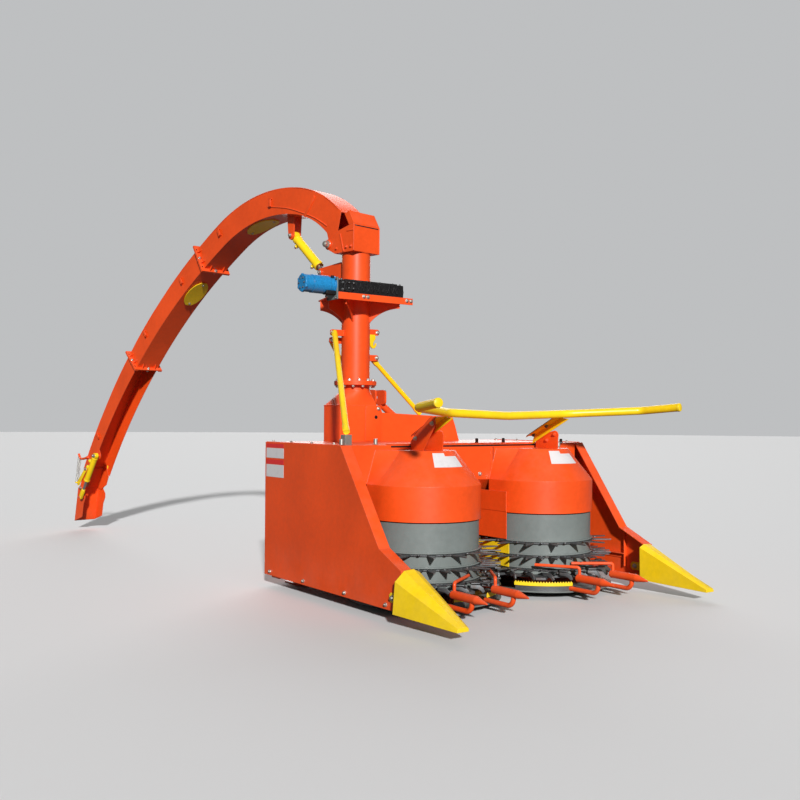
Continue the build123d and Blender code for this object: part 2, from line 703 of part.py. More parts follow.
FLAP_HINGE_A = (3112.0, 506.0)
FLAP_HINGE_B = (3192.0, 350.0)
FLAP_A_HALF = SPOUT_WIDTH / 2 - COVER_SHEET - RUN_GAP
FLAP_PIN_RADIUS = 8.0
DEFLECTOR_DRIFT = 4.0    # clearance of the deflector rod's open pivot
DEFLECTOR_EYE = (2904.0, 620.0)
DEFLECTOR_CLEVIS = (3144.0, 278.0)
DEFLECTOR_OFFSET = -(SPOUT_WIDTH / 2 + 30)
DEFLECTOR_STROKE = 71.0  # that the rod goes in from rest


def deflector_tab():
    """Corners of the tab on the last section that holds the deflector cylinder's upper bolt."""
    s, z = DEFLECTOR_EYE
    run = hypot(s - REACH[0], z - REACH[1])
    out = ((s - REACH[0]) / run, (z - REACH[1]) / run)
    corners = ((60, 50), (-8, 28), (-26, 10), (-26, -10), (-8, -28), (60, -50))   # outward, sideways
    return [(s + out[0] * up - out[1] * side, z + out[1] * up + out[0] * side) for up, side in corners]


def spout_section(node, stretches, depths, open_below):
    """Bent sheet duct with a bolted collar at each joint."""
    collar = 0.1
    with BuildPart() as section:
        with BuildSketch(spout_plane()):
            add(spout_face(stretches, depths))
        extrude(amount=SPOUT_WIDTH / 2, both=True)
        if node != "spout_section_3":
            with BuildSketch(spout_plane()):
                Polygon(*collar_corners(stretches[-1][2], collar, depths[1]), align=None)
            extrude(amount=SPOUT_WIDTH / 2 + 26, both=True)
        if node != "spout_section_1":
            with BuildSketch(spout_plane()):
                Polygon(*collar_corners(stretches[0][1], -collar, depths[0]), align=None)
            extrude(amount=SPOUT_WIDTH / 2 + 26, both=True)
        if node == "spout_section_1":
            neck_start = polar(NECK, NECK_RADIUS, 134.5)
            neck_middle = polar(NECK, NECK_RADIUS - SPOUT_DEPTH + 15, 131)
            s, z = LIFT_PIVOT
            with BuildSketch(spout_plane()):
                with BuildLine():
                    Polyline(neck_start, (92, 1925), (s, z - 30))
                    ThreePointArc((s, z - 30), (s + 30, z), (s + 14, z + 27))
                    Polyline((s + 14, z + 27), neck_middle, neck_start)
                make_face()
            extrude(amount=SPOUT_WIDTH / 2, both=True)
        longer = [list(item) for item in stretches]
        longer[0][1] += 12 if node == "spout_section_1" else 0.4
        longer[-1][2] -= 0.4
        with BuildSketch(spout_plane()):
            add(spout_face(longer, depths, COVER_SHEET, 60 if open_below else 0))
        extrude(amount=SPOUT_WIDTH / 2 - COVER_SHEET, both=True, mode=Mode.SUBTRACT)
        if node == "spout_section_3":
            with BuildSketch(spout_plane(-SPOUT_WIDTH / 2)):
                Polygon(*deflector_tab(), align=None)
            extrude(amount=COVER_SHEET)
            with BuildSketch(spout_plane(-SPOUT_WIDTH / 2)):
                with Locations(DEFLECTOR_EYE):
                    Circle(FLAP_PIN_RADIUS)
            extrude(amount=DEFLECTOR_OFFSET + SPOUT_WIDTH / 2 - 16)
            for sign in (-1, 1):
                with BuildSketch(spout_plane(sign * (SPOUT_WIDTH / 2 + 4))):
                    with Locations(FLAP_HINGE_A):
                        Circle(FLAP_PIN_RADIUS)
                extrude(amount=-sign * (SPOUT_WIDTH / 2 + 4 - FLAP_A_HALF + COVER_SHEET))
        if node == "spout_section_1":
            with BuildSketch(spout_plane()):
                with Locations((95, 1950)):
                    Rectangle(200, 160)
            extrude(amount=SPOUT_WIDTH / 2 - COVER_SHEET, both=True, mode=Mode.SUBTRACT)
            with BuildSketch(spout_plane()):
                with Locations(LIFT_PIVOT):
                    Circle(LIFT_PIN_RADIUS + PIN_FIT)
            extrude(amount=SPOUT_WIDTH, both=True, mode=Mode.SUBTRACT)
            for offset_n in (-26, 26):
                with BuildSketch(spout_plane(offset_n)):
                    with BuildLine():
                        s, z = LIFT_BARREL_EYE
                        Polyline((s - 26, z), (s - 34, crown_under(s - 34)),
                                 (s + 40, crown_under(s + 40)), (s + 26, z))
                        ThreePointArc((s + 26, z), (s, z - 26), (s - 26, z))
                    make_face()
                extrude(amount=4, both=True)
            with BuildSketch(spout_plane()):
                with Locations(LIFT_BARREL_EYE):
                    Circle(LIFT_PIN_RADIUS)
            extrude(amount=38, both=True)
    save(section, node)


# ---------------------------------------------------------------- lift cylinder
LIFT_BARREL_RADIUS = 27.5
LIFT_ROD_RADIUS = 15.0
EYE_HALF = 20.0


def in_spout(point, offset_n=0.0):
    """Machine position of a point given as s, z in the spout plane."""
    return spout_plane(offset_n).from_local_coords((point[0], point[1], 0))


def lift_barrel():
    """Yellow cylinder barrel, its eye on the spout's ears."""
    start = in_spout(LIFT_BARREL_EYE)
    end = in_spout(LIFT_ROD_EYE)
    length = reach(start, end)
    with BuildPart() as barrel:
        with BuildSketch(cylinder_plane(start, end).offset(34)):
            Circle(LIFT_BARREL_RADIUS)
        extrude(amount=length - 100)
        with BuildSketch(cylinder_plane(start, end)):
            Rectangle(2 * EYE_HALF, 2 * EYE_HALF)
        extrude(amount=36)
        with BuildSketch(spout_plane()):
            with Locations(LIFT_BARREL_EYE):
                Circle(28)
        extrude(amount=EYE_HALF, both=True)
        with BuildSketch(spout_plane()):
            with Locations(LIFT_BARREL_EYE):
                Circle(LIFT_PIN_RADIUS + PIN_FIT)
        extrude(amount=EYE_HALF, both=True, mode=Mode.SUBTRACT)
        with BuildSketch(cylinder_plane(start, end).offset(60)):
            Circle(LIFT_ROD_RADIUS + PIN_FIT)
        extrude(amount=length, mode=Mode.SUBTRACT)
    save(barrel, "lift_barrel")


def lift_rod():
    """Bright rod with its eye between the turning tube's ears."""
    start = in_spout(LIFT_ROD_EYE)
    end = in_spout(LIFT_BARREL_EYE)
    with BuildPart() as rod:
        with BuildSketch(cylinder_plane(start, end)):
            Circle(LIFT_ROD_RADIUS)
        extrude(amount=reach(start, end) - 66)
        with BuildSketch(spout_plane()):
            with Locations(LIFT_ROD_EYE):
                Circle(27)
        extrude(amount=EYE_HALF, both=True)
        with BuildSketch(spout_plane()):
            with Locations(LIFT_ROD_EYE):
                Circle(LIFT_PIN_RADIUS + LIFT_DRIFT)
        extrude(amount=EYE_HALF, both=True, mode=Mode.SUBTRACT)
    save(rod, "lift_rod")


# ---------------------------------------------------------------- deflector
def deflector_upper():
    """First flap of the deflector, nested inside the end of the spout."""
    with BuildPart() as flap:
        with BuildSketch(spout_plane()):
            Polygon((3090, 512), (3118, 527), (3164, 480), (3240, 352), (3214, 334), (3180, 330),
                    (3095, 370), (3060, 440), align=None)
        extrude(amount=FLAP_A_HALF, both=True)
        with BuildSketch(spout_plane()):
            Polygon((3060, 540), (3128, 522), (3160, 474), (3236, 346), (3200, 300), (3000, 300), align=None)
        extrude(amount=FLAP_A_HALF - COVER_SHEET, both=True, mode=Mode.SUBTRACT)
        with BuildSketch(spout_plane()):
            with Locations(FLAP_HINGE_A):
                Circle(FLAP_PIN_RADIUS + PIN_FIT)
        extrude(amount=FLAP_A_HALF, both=True, mode=Mode.SUBTRACT)
        for sign in (-1, 1):
            with BuildSketch(spout_plane(sign * (SPOUT_WIDTH / 2 + 4))):
                with Locations(FLAP_HINGE_B):
                    Circle(FLAP_PIN_RADIUS)
            extrude(amount=-sign * (SPOUT_WIDTH / 2 + 4 - FLAP_A_HALF + COVER_SHEET))
    save(flap, "deflector_upper")


def deflector_lower():
    """Second flap, hung on the first and moved by the small cylinder."""
    half = SPOUT_WIDTH / 2
    with BuildPart() as flap:
        with BuildSketch(spout_plane()):
            Polygon((3178, 366), (3205, 372), (3250, 346), (3306, 72), (3180, 112), (3160, 215), (3130, 262),
                    (3128, 296), (3160, 330), align=None)
        extrude(amount=half, both=True)
        with BuildSketch(spout_plane()):
            Polygon((3100, 420), (3235, 400), (3244, 354), (3310, 20), (3000, 60), align=None)
        extrude(amount=half - COVER_SHEET, both=True, mode=Mode.SUBTRACT)
        with BuildSketch(spout_plane()):
            with Locations(FLAP_HINGE_B):
                Circle(FLAP_PIN_RADIUS + PIN_FIT)
        extrude(amount=half, both=True, mode=Mode.SUBTRACT)
        with BuildSketch(spout_plane(-half)):
            with Locations(DEFLECTOR_CLEVIS):
                Circle(FLAP_PIN_RADIUS)
        extrude(amount=-46)
    save(flap, "deflector_lower")


def deflector_barrel():
    """Small cylinder's barrel, on a bolt through the spout's side."""
    start = in_spout(DEFLECTOR_EYE, DEFLECTOR_OFFSET)
    end = in_spout(DEFLECTOR_CLEVIS, DEFLECTOR_OFFSET)
    with BuildPart() as barrel:
        with BuildSketch(cylinder_plane(start, end).offset(16)):
            Circle(22)
        extrude(amount=234)
        with BuildSketch(spout_plane(DEFLECTOR_OFFSET)):
            with Locations(DEFLECTOR_EYE):
                Circle(22)
        extrude(amount=13, both=True)
        with BuildSketch(spout_plane(DEFLECTOR_OFFSET)):
            with Locations(DEFLECTOR_EYE):
                Circle(FLAP_PIN_RADIUS + PIN_FIT)
        extrude(amount=13, both=True, mode=Mode.SUBTRACT)
        with BuildSketch(cylinder_plane(start, end).offset(45)):
            Circle(10 + PIN_FIT)
        extrude(amount=300, mode=Mode.SUBTRACT)
    save(barrel, "deflector_barrel")


def deflector_rod():
    """Small cylinder's rod, with its clevis at the lower flap's bolt."""
    start = in_spout(DEFLECTOR_CLEVIS, DEFLECTOR_OFFSET)
    end = in_spout(DEFLECTOR_EYE, DEFLECTOR_OFFSET)
    with BuildPart() as rod:
        with BuildSketch(cylinder_plane(start, end)):
            Circle(10)
        extrude(amount=reach(start, end) - 60 - DEFLECTOR_STROKE)
        with BuildSketch(cylinder_plane(start, end)):
            Circle(17)
        extrude(amount=70)
        with BuildSketch(spout_plane(DEFLECTOR_OFFSET)):
            with Locations(DEFLECTOR_CLEVIS):
                Circle(20)
        extrude(amount=15, both=True)
        with BuildSketch(spout_plane(DEFLECTOR_OFFSET)):
            with Locations(DEFLECTOR_CLEVIS):
                Circle(FLAP_PIN_RADIUS + DEFLECTOR_DRIFT)
        extrude(amount=20, both=True, mode=Mode.SUBTRACT)
    save(rod, "deflector_rod")


# ---------------------------------------------------------------- rotors
def rotor_drum(side, sign):
    """Grey drum with its closed top, web and the hub that turns on the spindle."""
    x = sign * ROTOR_PITCH / 2
    hub_top = DRUM_BOTTOM_Z + 130
    with BuildPart() as drum:
        with BuildSketch(level(DRUM_BOTTOM_Z, x)):
            Circle(DRUM_RADIUS)
            Circle(DRUM_RADIUS - SHEET, mode=Mode.SUBTRACT)
        extrude(amount=DRUM_TOP_Z - DRUM_BOTTOM_Z)
        with BuildSketch(level(DRUM_TOP_Z - SHEET, x)):
            Circle(DRUM_RADIUS)
        extrude(amount=SHEET)
        with BuildSketch(level(hub_top, x)):
            Circle(DRUM_RADIUS - 1)
        extrude(amount=8)
        with BuildSketch(level(DRUM_BOTTOM_Z, x)):
            Circle(55)
            Circle(SPINDLE_RADIUS + PIN_FIT, mode=Mode.SUBTRACT)
        extrude(amount=hub_top - DRUM_BOTTOM_Z)
    save(drum, f"rotor_drum_{side}")


def toothed_discs(side, sign):
    """Three feeding discs with pointed teeth."""
    x = sign * ROTOR_PITCH / 2
    half_root = DISC_TOOTH_WIDTH / 2
    with BuildPart() as discs:
        for disc_z, teeth in zip(DISC_LEVELS, DISC_TEETH):
            with BuildSketch(level(disc_z - DISC_PLATE / 2, x)):
                Circle(DISC_ROOT_RADIUS)
                with PolarLocations(0, teeth):
                    Polygon((DISC_ROOT_RADIUS - 8, -half_root), (DISC_RADIUS - 1, -2.5),
                            (DISC_RADIUS - 1, 2.5), (DISC_ROOT_RADIUS - 8, half_root), align=None)
                Circle(DRUM_RADIUS + SEAT_GAP, mode=Mode.SUBTRACT)
            extrude(amount=DISC_PLATE)
    save(discs, f"toothed_discs_{side}")


def knife_disc(side, sign):
    """Lowest disc, with swept cutting knives on its rim."""
    x = sign * ROTOR_PITCH / 2
    with BuildPart() as disc:
        with BuildSketch(level(KNIFE_Z - 3, x)):
            Circle(310)
            with PolarLocations(0, KNIFE_COUNT):
                Polygon((300, -sign * 50), (KNIFE_RADIUS - 4, -sign * 10), (KNIFE_RADIUS - 10, sign * 40),
                        (300, sign * 55), align=None)
            Circle(120, mode=Mode.SUBTRACT)
        extrude(amount=DRUM_BOTTOM_Z - KNIFE_Z + 3)
    save(disc, f"knife_disc_{side}")


# ---------------------------------------------------------------- crop gathering
def crop_divider(side, sign):
    """Yellow faceted nose ahead of a side panel."""
    rear = ((-72, 66), (-74, 240), (-40, 256), (12, 252), (62, 208), (74, 66))
    nose = ((-30, 52), (-30, 66), (-18, 72), (4, 72), (26, 68), (32, 52))
    with BuildPart() as divider:
        for x, y, outline in ((HALF_WIDTH - 28, PANEL_NOSE_Y - SEAT_GAP, rear),
                              (HALF_WIDTH - 31, -813, nose)):
            with BuildSketch(Plane(origin=(sign * x, y, 0), x_dir=(sign, 0, 0), z_dir=(0, -sign, 0))):
                Polygon(*outline, align=None)
        loft()
        for x, y, outline in ((HALF_WIDTH - 28, PANEL_NOSE_Y, rear), (HALF_WIDTH - 31, -800, nose)):
            with BuildSketch(Plane(origin=(sign * x, y, 0), x_dir=(sign, 0, 0), z_dir=(0, -sign, 0))):
                Polygon(*outline, align=None)
                offset(amount=-COVER_SHEET, kind=Kind.INTERSECTION, mode=Mode.REPLACE)
        loft(mode=Mode.SUBTRACT)
    save(divider, f"crop_divider_{side}")


STALK_GUIDES = (  # x of the guide, x and y of its rod's end
    (535.0, 350.0, -290.0),
    (285.0, 155.0, -220.0),
)
GUIDE_Z = 115.0
GUIDE_ARM_RADIUS = 12.0
GUIDE_ARM_Z = DISH_HEIGHT + SEAT_GAP + GUIDE_ARM_RADIUS


def stalk_guides(side, sign):
    """Pointed tubes ahead of a rotor, each with a rod over the lower disc and a bent arm below."""
    with BuildPart() as guides:
        for x, rod_x, rod_y in STALK_GUIDES:
            with BuildSketch(Plane(origin=(sign * x, -402, GUIDE_Z), z_dir=(0, -1, 0))):
                Circle(20)
            extrude(amount=170)
            with BuildSketch(Plane(origin=(sign * x, -572, GUIDE_Z), z_dir=(0, -1, 0))):
                Circle(20)
            with BuildSketch(Plane(origin=(sign * x, -642, GUIDE_Z - 6), z_dir=(0, -1, 0))):
                Circle(4)
            loft()
            with BuildLine() as rod:
                FilletPolyline((sign * x, -412, GUIDE_Z), (sign * x, -412, 171),
                               (sign * rod_x, rod_y, 171), radius=14)
            with BuildSketch(Plane(origin=(sign * x, -412, GUIDE_Z))):
                Circle(8)
            sweep(path=rod.line)
            with BuildLine() as arm:
                FilletPolyline((sign * x, -540, GUIDE_Z), (sign * x, -540, GUIDE_ARM_Z),
                               (sign * x, -340, GUIDE_ARM_Z), radius=40)
            with BuildSketch(Plane(origin=(sign * x, -540, GUIDE_Z))):
                Circle(GUIDE_ARM_RADIUS)
            sweep(path=arm.line)
    save(guides, f"stalk_guides_{side}")


# ---------------------------------------------------------------- push bar
BAR_RADIUS = 21.2
BAR_BENDS = ((0, -180, 944), (400, -180, 957), (752, -416, 977), (804, -634, 995))


def push_bar():
    """Bent tube across the front that leans the crop forward."""
    right = [Vector(*p) for p in BAR_BENDS]
    left = [Vector(-p.X, p.Y, p.Z) for p in reversed(right[1:])]
    points = left + right
    with BuildPart() as bar:
        with BuildLine() as path:
            FilletPolyline(*points, radius=(70, 160, 400, 160, 70))
        with BuildSketch(strut_plane(points[0], points[1])):
            Circle(BAR_RADIUS)
        sweep(path=path.line)
    save(bar, "push_bar")


def bar_bracket(side, sign):
    """Folded channel from a hood's top up to the push bar."""
    x = sign * ROTOR_PITCH / 2
    foot_y, head_y = 10.0, -180.0
    rise = (BAR_BENDS[1][2] - BAR_BENDS[0][2]) * 28 / BAR_BENDS[1][0]
    head_z = BAR_BENDS[1][2] - rise - BAR_RADIUS - SEAT_GAP
    with BuildPart() as bracket:
        with BuildSketch(across(x - 28)):
            Polygon((foot_y + 40, HOOD_TOP_Z), (foot_y - 40, HOOD_TOP_Z), (head_y - 8, head_z),
                    (head_y + 34, head_z), align=None)
        extrude(amount=56)
        with BuildSketch(across(x - 28 + SHEET)):
            Polygon((foot_y + 60, HOOD_TOP_Z - 20), (foot_y - 34, HOOD_TOP_Z - 20), (head_y, head_z + 10),
                    (head_y + 60, head_z + 10), align=None)
        extrude(amount=56 - 2 * SHEET, mode=Mode.SUBTRACT)
        with BuildSketch(level(head_z - 4, x, head_y + 13)):
            Rectangle(56, 42)
        extrude(amount=4)
    save(bracket, f"bar_bracket_{side}")


# ---------------------------------------------------------------- drive and hitch
def gearbox():
    """Rear gearbox behind the chopper housing."""
    with BuildPart() as box:
        with BuildSketch(along(CHOPPER_REAR_Y)):
            with Locations((0, PTO_Z - 40)):
                RectangleRounded(240, 300, 40)
        extrude(amount=-110)
        with BuildSketch(along(CHOPPER_REAR_Y + 110)):
            with Locations((0, PTO_Z)):
                Circle(60)
        extrude(amount=-25)
        with BuildSketch(along(CHOPPER_REAR_Y + 40)):
            with Locations((0, PTO_Z)):
                Circle(25 + PIN_FIT)
        extrude(amount=-200, mode=Mode.SUBTRACT)
    save(box, "gearbox")


def pto_shaft():
    """Input shaft: journal in the gearbox and the free splined stub."""
    with BuildPart() as shaft:
        with BuildSketch(along(CHOPPER_REAR_Y + 45)):
            with Locations((0, PTO_Z)):
                Circle(25)
        extrude(amount=-95)
        with BuildSketch(along(CHOPPER_REAR_Y + 45)):
            with Locations((0, PTO_Z)):
                Circle(17.45)
        extrude(amount=-185)
    save(shaft, "pto_shaft")


def hitch_frame():
    """Three-point hitch frame: upright posts, cross beams and the mast for the top link."""
    top_z = HITCH_PIN_Z + HITCH_MAST
    post_y = CHOPPER_REAR_Y + 40
    with BuildPart() as hitch:
        for _, sign in SIDES:
            with BuildSketch(level(122, sign * 350, post_y)):
                Rectangle(60, 80)
            extrude(amount=DECK_Z - 122)
            for lug in (HITCH_HALF_SPREAD - 42, HITCH_HALF_SPREAD - 6):
                with BuildSketch(across(sign * lug)):
                    with BuildLine():
                        Polyline((post_y - 40, HITCH_PIN_Z + 60), (HITCH_Y, HITCH_PIN_Z + 32))
                        ThreePointArc((HITCH_Y, HITCH_PIN_Z + 32), (HITCH_Y + 32, HITCH_PIN_Z),
                                      (HITCH_Y, HITCH_PIN_Z - 32))
                        Polyline((HITCH_Y, HITCH_PIN_Z - 32), (post_y - 40, HITCH_PIN_Z - 60),
                                 (post_y - 40, HITCH_PIN_Z + 60))
                    make_face()
                extrude(amount=6, both=True)
            with BuildSketch(across(sign * (HITCH_HALF_SPREAD - 60))):
                with Locations((HITCH_Y, HITCH_PIN_Z)):
                    Circle(LOWER_PIN_RADIUS)
            extrude(amount=sign * 130)
            foot = (sign * MAST_FOOT[0], MAST_FOOT[1], MAST_FOOT[2])
            head = (sign * MAST_HEAD[0], MAST_HEAD[1], MAST_HEAD[2])
            with BuildSketch(strut_plane(foot, head)):
                Circle(MAST_RADIUS)
            extrude(amount=reach(foot, head))
            with BuildSketch(across(sign * MAST_FORK_HALF)):
                with Locations((HITCH_Y - 40, top_z)):
                    RectangleRounded(130, 90, 20)
            extrude(amount=sign * 12)
        for beam_z in (150, DECK_Z - 40):
            with BuildSketch(level(beam_z, 0, post_y)):
                Rectangle(760, 70)
            extrude(amount=40)
        with BuildSketch(across(-MAST_FORK_HALF)):
            with Locations((HITCH_Y - 40, top_z)):
                Rectangle(200, 160)
        extrude(amount=2 * MAST_FORK_HALF, mode=Mode.SUBTRACT)
        with BuildSketch(across(-60)):
            with Locations((HITCH_Y - 10, top_z)):
                Circle(TOP_PIN_RADIUS)
        extrude(amount=120, mode=Mode.SUBTRACT)
    save(hitch, "hitch_frame")


# ---------------------------------------------------------------- build
base_frame()
throat_floor()
throat_roof()
deck_plate()
front_wall()
rear_wall()
for side, sign in SIDES:
    rotor_dish(side, sign)
    rear_stand(side, sign)
    side_panel(side, sign)
    rotor_hood(side, sign)
    throat_wall(side, sign)
    stripper(side, sign)
    rotor_drum(side, sign)
    toothed_discs(side, sign)
    knife_disc(side, sign)
    crop_divider(side, sign)
    stalk_guides(side, sign)
    bar_bracket(side, sign)
chopper_housing()
chopper_drum()
blower_cover()
tower_base()
lower_tower()
for brace in TOWER_BRACES:
    tower_brace(*brace)
brace_feet()
slew_tray()
slew_drive()
slew_motor()
upper_tower()
elbow_box()
elbow_cap()
for section in SPOUT_SECTIONS:
    spout_section(*section)
lift_barrel()
lift_rod()
deflector_upper()
deflector_lower()
deflector_barrel()
deflector_rod()
push_bar()
gearbox()
pto_shaft()
hitch_frame()
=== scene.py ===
"""Looks of a mounted two-rotor forage harvester, dressed on its packed construction model."""
import logging
from dataclasses import dataclass, field
from enum import Enum
from math import acos, atan2, cos, degrees, radians, sin, sqrt, tau
from typing import Callable, Sequence

import bmesh
import bpy
from mathutils import Matrix, Vector
from mathutils.bvhtree import BVHTree


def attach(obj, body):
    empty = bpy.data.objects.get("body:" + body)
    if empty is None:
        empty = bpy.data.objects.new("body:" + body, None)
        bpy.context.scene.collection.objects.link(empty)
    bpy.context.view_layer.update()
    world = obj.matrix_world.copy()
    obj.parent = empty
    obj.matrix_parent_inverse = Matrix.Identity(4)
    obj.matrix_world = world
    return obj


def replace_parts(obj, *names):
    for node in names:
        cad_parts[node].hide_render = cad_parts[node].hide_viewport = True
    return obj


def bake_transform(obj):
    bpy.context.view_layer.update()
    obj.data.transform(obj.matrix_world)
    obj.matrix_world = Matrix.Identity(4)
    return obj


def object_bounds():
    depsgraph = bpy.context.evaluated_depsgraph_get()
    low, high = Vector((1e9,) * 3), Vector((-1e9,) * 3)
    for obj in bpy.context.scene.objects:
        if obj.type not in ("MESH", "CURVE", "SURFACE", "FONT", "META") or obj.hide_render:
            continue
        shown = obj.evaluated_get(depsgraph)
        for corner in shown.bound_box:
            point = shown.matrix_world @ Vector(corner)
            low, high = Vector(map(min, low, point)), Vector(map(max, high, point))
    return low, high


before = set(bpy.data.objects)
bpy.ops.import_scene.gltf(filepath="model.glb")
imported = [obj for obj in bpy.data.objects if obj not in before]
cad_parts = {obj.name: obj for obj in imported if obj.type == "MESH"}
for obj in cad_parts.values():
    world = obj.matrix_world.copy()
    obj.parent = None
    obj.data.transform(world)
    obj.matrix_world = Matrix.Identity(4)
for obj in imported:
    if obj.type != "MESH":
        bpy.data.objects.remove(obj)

CAD_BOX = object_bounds()
LOG = logging.getLogger("harvester")

Point = Sequence[float]
Pair = tuple[float, float]
Triple = tuple[float, float, float]
Socket = bpy.types.NodeSocket
Item = bpy.types.Object

LEFT, RIGHT, FRONT, REAR = (-1, 0, 0), (1, 0, 0), (0, -1, 0), (0, 1, 0)
DOWN, UP = (0, 0, -1), (0, 0, 1)
ROTOR_X = 0.4  # from the middle of the machine to a rotor's axis
PANEL_X = 0.841  # from the middle to a side panel's outer face
TOWER_AXIS = (-0.278, 0.844)
TUBE_BEAD = 0.0848  # radius of a weld bead round the tower's tube


class Body(Enum):
    """Moving bodies that a piece can ride on."""

    CHASSIS = "chassis"
    ROTOR_LEFT = "rotor_left"
    ROTOR_RIGHT = "rotor_right"
    INPUT_SHAFT = "input_shaft"
    TURRET = "turret"
    SPOUT = "spout"
    LIFT_BARREL = "lift_cylinder_barrel"
    FLAP_UPPER = "deflector_flap_upper"
    FLAP_BARREL = "deflector_cylinder_barrel"
    FLAP_ROD = "deflector_cylinder_rod"


class Slot(Enum):
    """Finish slots of the part's record."""

    ORANGE = "orange_paint"
    YELLOW = "yellow_paint"
    GREY = "grey_paint"
    DARK = "dark_steel"
    BRIGHT = "bright_steel"
    BLUE = "blue_paint"
    BLACK = "black_paint"


class Side(Enum):
    """Left or right half of the machine, by the sign of x."""

    LEFT = -1
    RIGHT = 1

    @property
    def label(self) -> str:
        """Name used in pieces and nodes."""
        return "left" if self is Side.LEFT else "right"

    @property
    def rotor(self) -> Body:
        """Rotor body on this side."""
        return Body.ROTOR_LEFT if self is Side.LEFT else Body.ROTOR_RIGHT

    @property
    def x(self) -> float:
        """Where this side's rotor axis stands."""
        return self.value * ROTOR_X


# ---- node wiring
@dataclass
class Graph:
    """A node tree while it is being wired."""

    tree: bpy.types.NodeTree

    def add(self, kind: str, feeds: dict | None = None, **settings: object) -> bpy.types.Node:
        """Place a node.

        Args:
            kind: Blender's node type.
            feeds: value or socket for each input, by name or number.
            settings: properties of the node itself.

        Returns:
            The node.
        """
        node = self.tree.nodes.new(kind)
        for key, value in settings.items():
            setattr(node, key, value)
        self.feed(node, feeds or {})
        return node

    def feed(self, node: bpy.types.Node, feeds: dict) -> None:
        """Link or set a node's inputs.

        Args:
            node: the node.
            feeds: socket to link or value to set for each input, by name or number.
        """
        for key, value in feeds.items():
            if isinstance(value, Socket):
                self.tree.links.new(value, node.inputs[key])
            else:
                node.inputs[key].default_value = value

    def math(self, operation: str, a: object, b: object = 0.0, clamp: bool = False) -> Socket:
        """One arithmetic step on one or two values."""
        return self.add("ShaderNodeMath", {0: a, 1: b}, operation=operation, use_clamp=clamp).outputs[0]

    def ramp(self, value: object, low: float, high: float, to_low: float = 0.0,
             to_high: float = 1.0) -> Socket:
        """Map a value from one span to another, held at its ends."""
        feeds = {"Value": value, "From Min": low, "From Max": high, "To Min": to_low, "To Max": to_high}
        return self.add("ShaderNodeMapRange", feeds).outputs["Result"]

    def mix(self, share: object, a: object, b: object) -> Socket:
        """Blend two colours by a share."""
        return self.add("ShaderNodeMix", {0: share, 6: a, 7: b}, data_type="RGBA").outputs[2]

    def place(self, stretch: Point = (1, 1, 1)) -> Socket:
        """Object coordinates in metres, stretched along each axis."""
        coords = self.add("ShaderNodeTexCoord").outputs["Object"]
        return self.add("ShaderNodeMapping", {"Vector": coords, "Scale": stretch}).outputs["Vector"]

    def noise(self, scale: object, detail: float = 3.0, rough: float = 0.55,
              stretch: Point = (1, 1, 1)) -> Socket:
        """Cloudy value from 0 to 1."""
        feeds = {"Vector": self.place(stretch), "Scale": scale, "Detail": detail, "Roughness": rough}
        return self.add("ShaderNodeTexNoise", feeds).outputs[0]

    def facing(self) -> Socket:
        """The surface's own normal."""
        return self.add("ShaderNodeNewGeometry").outputs["Normal"]

    def bump(self, strength: float, depth: float, height: Socket, **normal: Socket) -> Socket:
        """Normal roughened by a height of some depth, over the Normal given if there is one."""
        return self.add("ShaderNodeBump", {"Strength": strength, "Distance": depth, "Height": height,
                                           **normal}).outputs[0]

    def height(self, value: object) -> Socket:
        """A vector along z."""
        return self.add("ShaderNodeCombineXYZ", {"Z": value}).outputs[0]

    def random(self, low: float, high: object, seed: Socket) -> Socket:
        """A seeded random value for each point."""
        return self.add("FunctionNodeRandomValue", {2: low, 3: high, "Seed": seed},
                        data_type="FLOAT").outputs[1]


def rgba(colour: Point) -> tuple[float, float, float, float]:
    """Colour with full cover."""
    return (*colour, 1.0)


@dataclass
class ShaderGroup:
    """A named shader effect that several finishes share."""

    name: str
    inputs: dict[str, float]
    outputs: dict[str, str]
    wire: Callable[[Graph, dict], dict]
    tree: bpy.types.NodeTree | None = None

    def use(self, graph: Graph, **values: float) -> dict[str, Socket]:
        """Place the effect in a material.

        Args:
            graph: the material's tree.
            values: settings of the effect, by input name.

        Returns:
            The effect's outputs by name.
        """
        if self.tree is None:
            self.build()
        node = graph.add("ShaderNodeGroup", values, node_tree=self.tree)
        return {label: node.outputs[label] for label in self.outputs}

    def build(self) -> None:
        """Make the group's tree with its named inputs and outputs."""
        self.tree = bpy.data.node_groups.new(self.name, "ShaderNodeTree")
        for label, value in self.inputs.items():
            socket = self.tree.interface.new_socket(name=label, in_out="INPUT", socket_type=VALUE)
            socket.default_value = value
        for label, kind in self.outputs.items():
            self.tree.interface.new_socket(name=label, in_out="OUTPUT", socket_type=kind)
        graph = Graph(self.tree)
        given = graph.add("NodeGroupInput").outputs
        graph.add("NodeGroupOutput", self.wire(graph, {label: given[label] for label in self.inputs}))


def wire_worn_edge(graph: Graph, given: dict) -> dict:
    """Mask of rubbed edges, and the surface normal with its edges eased.

    Args:
        graph: the group's tree.
        given: its inputs by name.

    Returns:
        Its outputs by name.
    """
    bevel = graph.add("ShaderNodeBevel", {"Radius": given["Radius"]}, samples=4).outputs["Normal"]
    dot = graph.add("ShaderNodeVectorMath", {0: bevel, 1: graph.facing()}, operation="DOT_PRODUCT")
    near = graph.ramp(graph.math("SUBTRACT", 1.0, dot.outputs["Value"]), 0.01, 0.16)
    chips = graph.ramp(graph.noise(55.0, 4.0, 0.7), 0.44, 0.6)
    mask = graph.math("MULTIPLY", graph.math("MULTIPLY", near, chips), given["Wear"], clamp=True)
    return {"Mask": mask, "Normal": bevel}


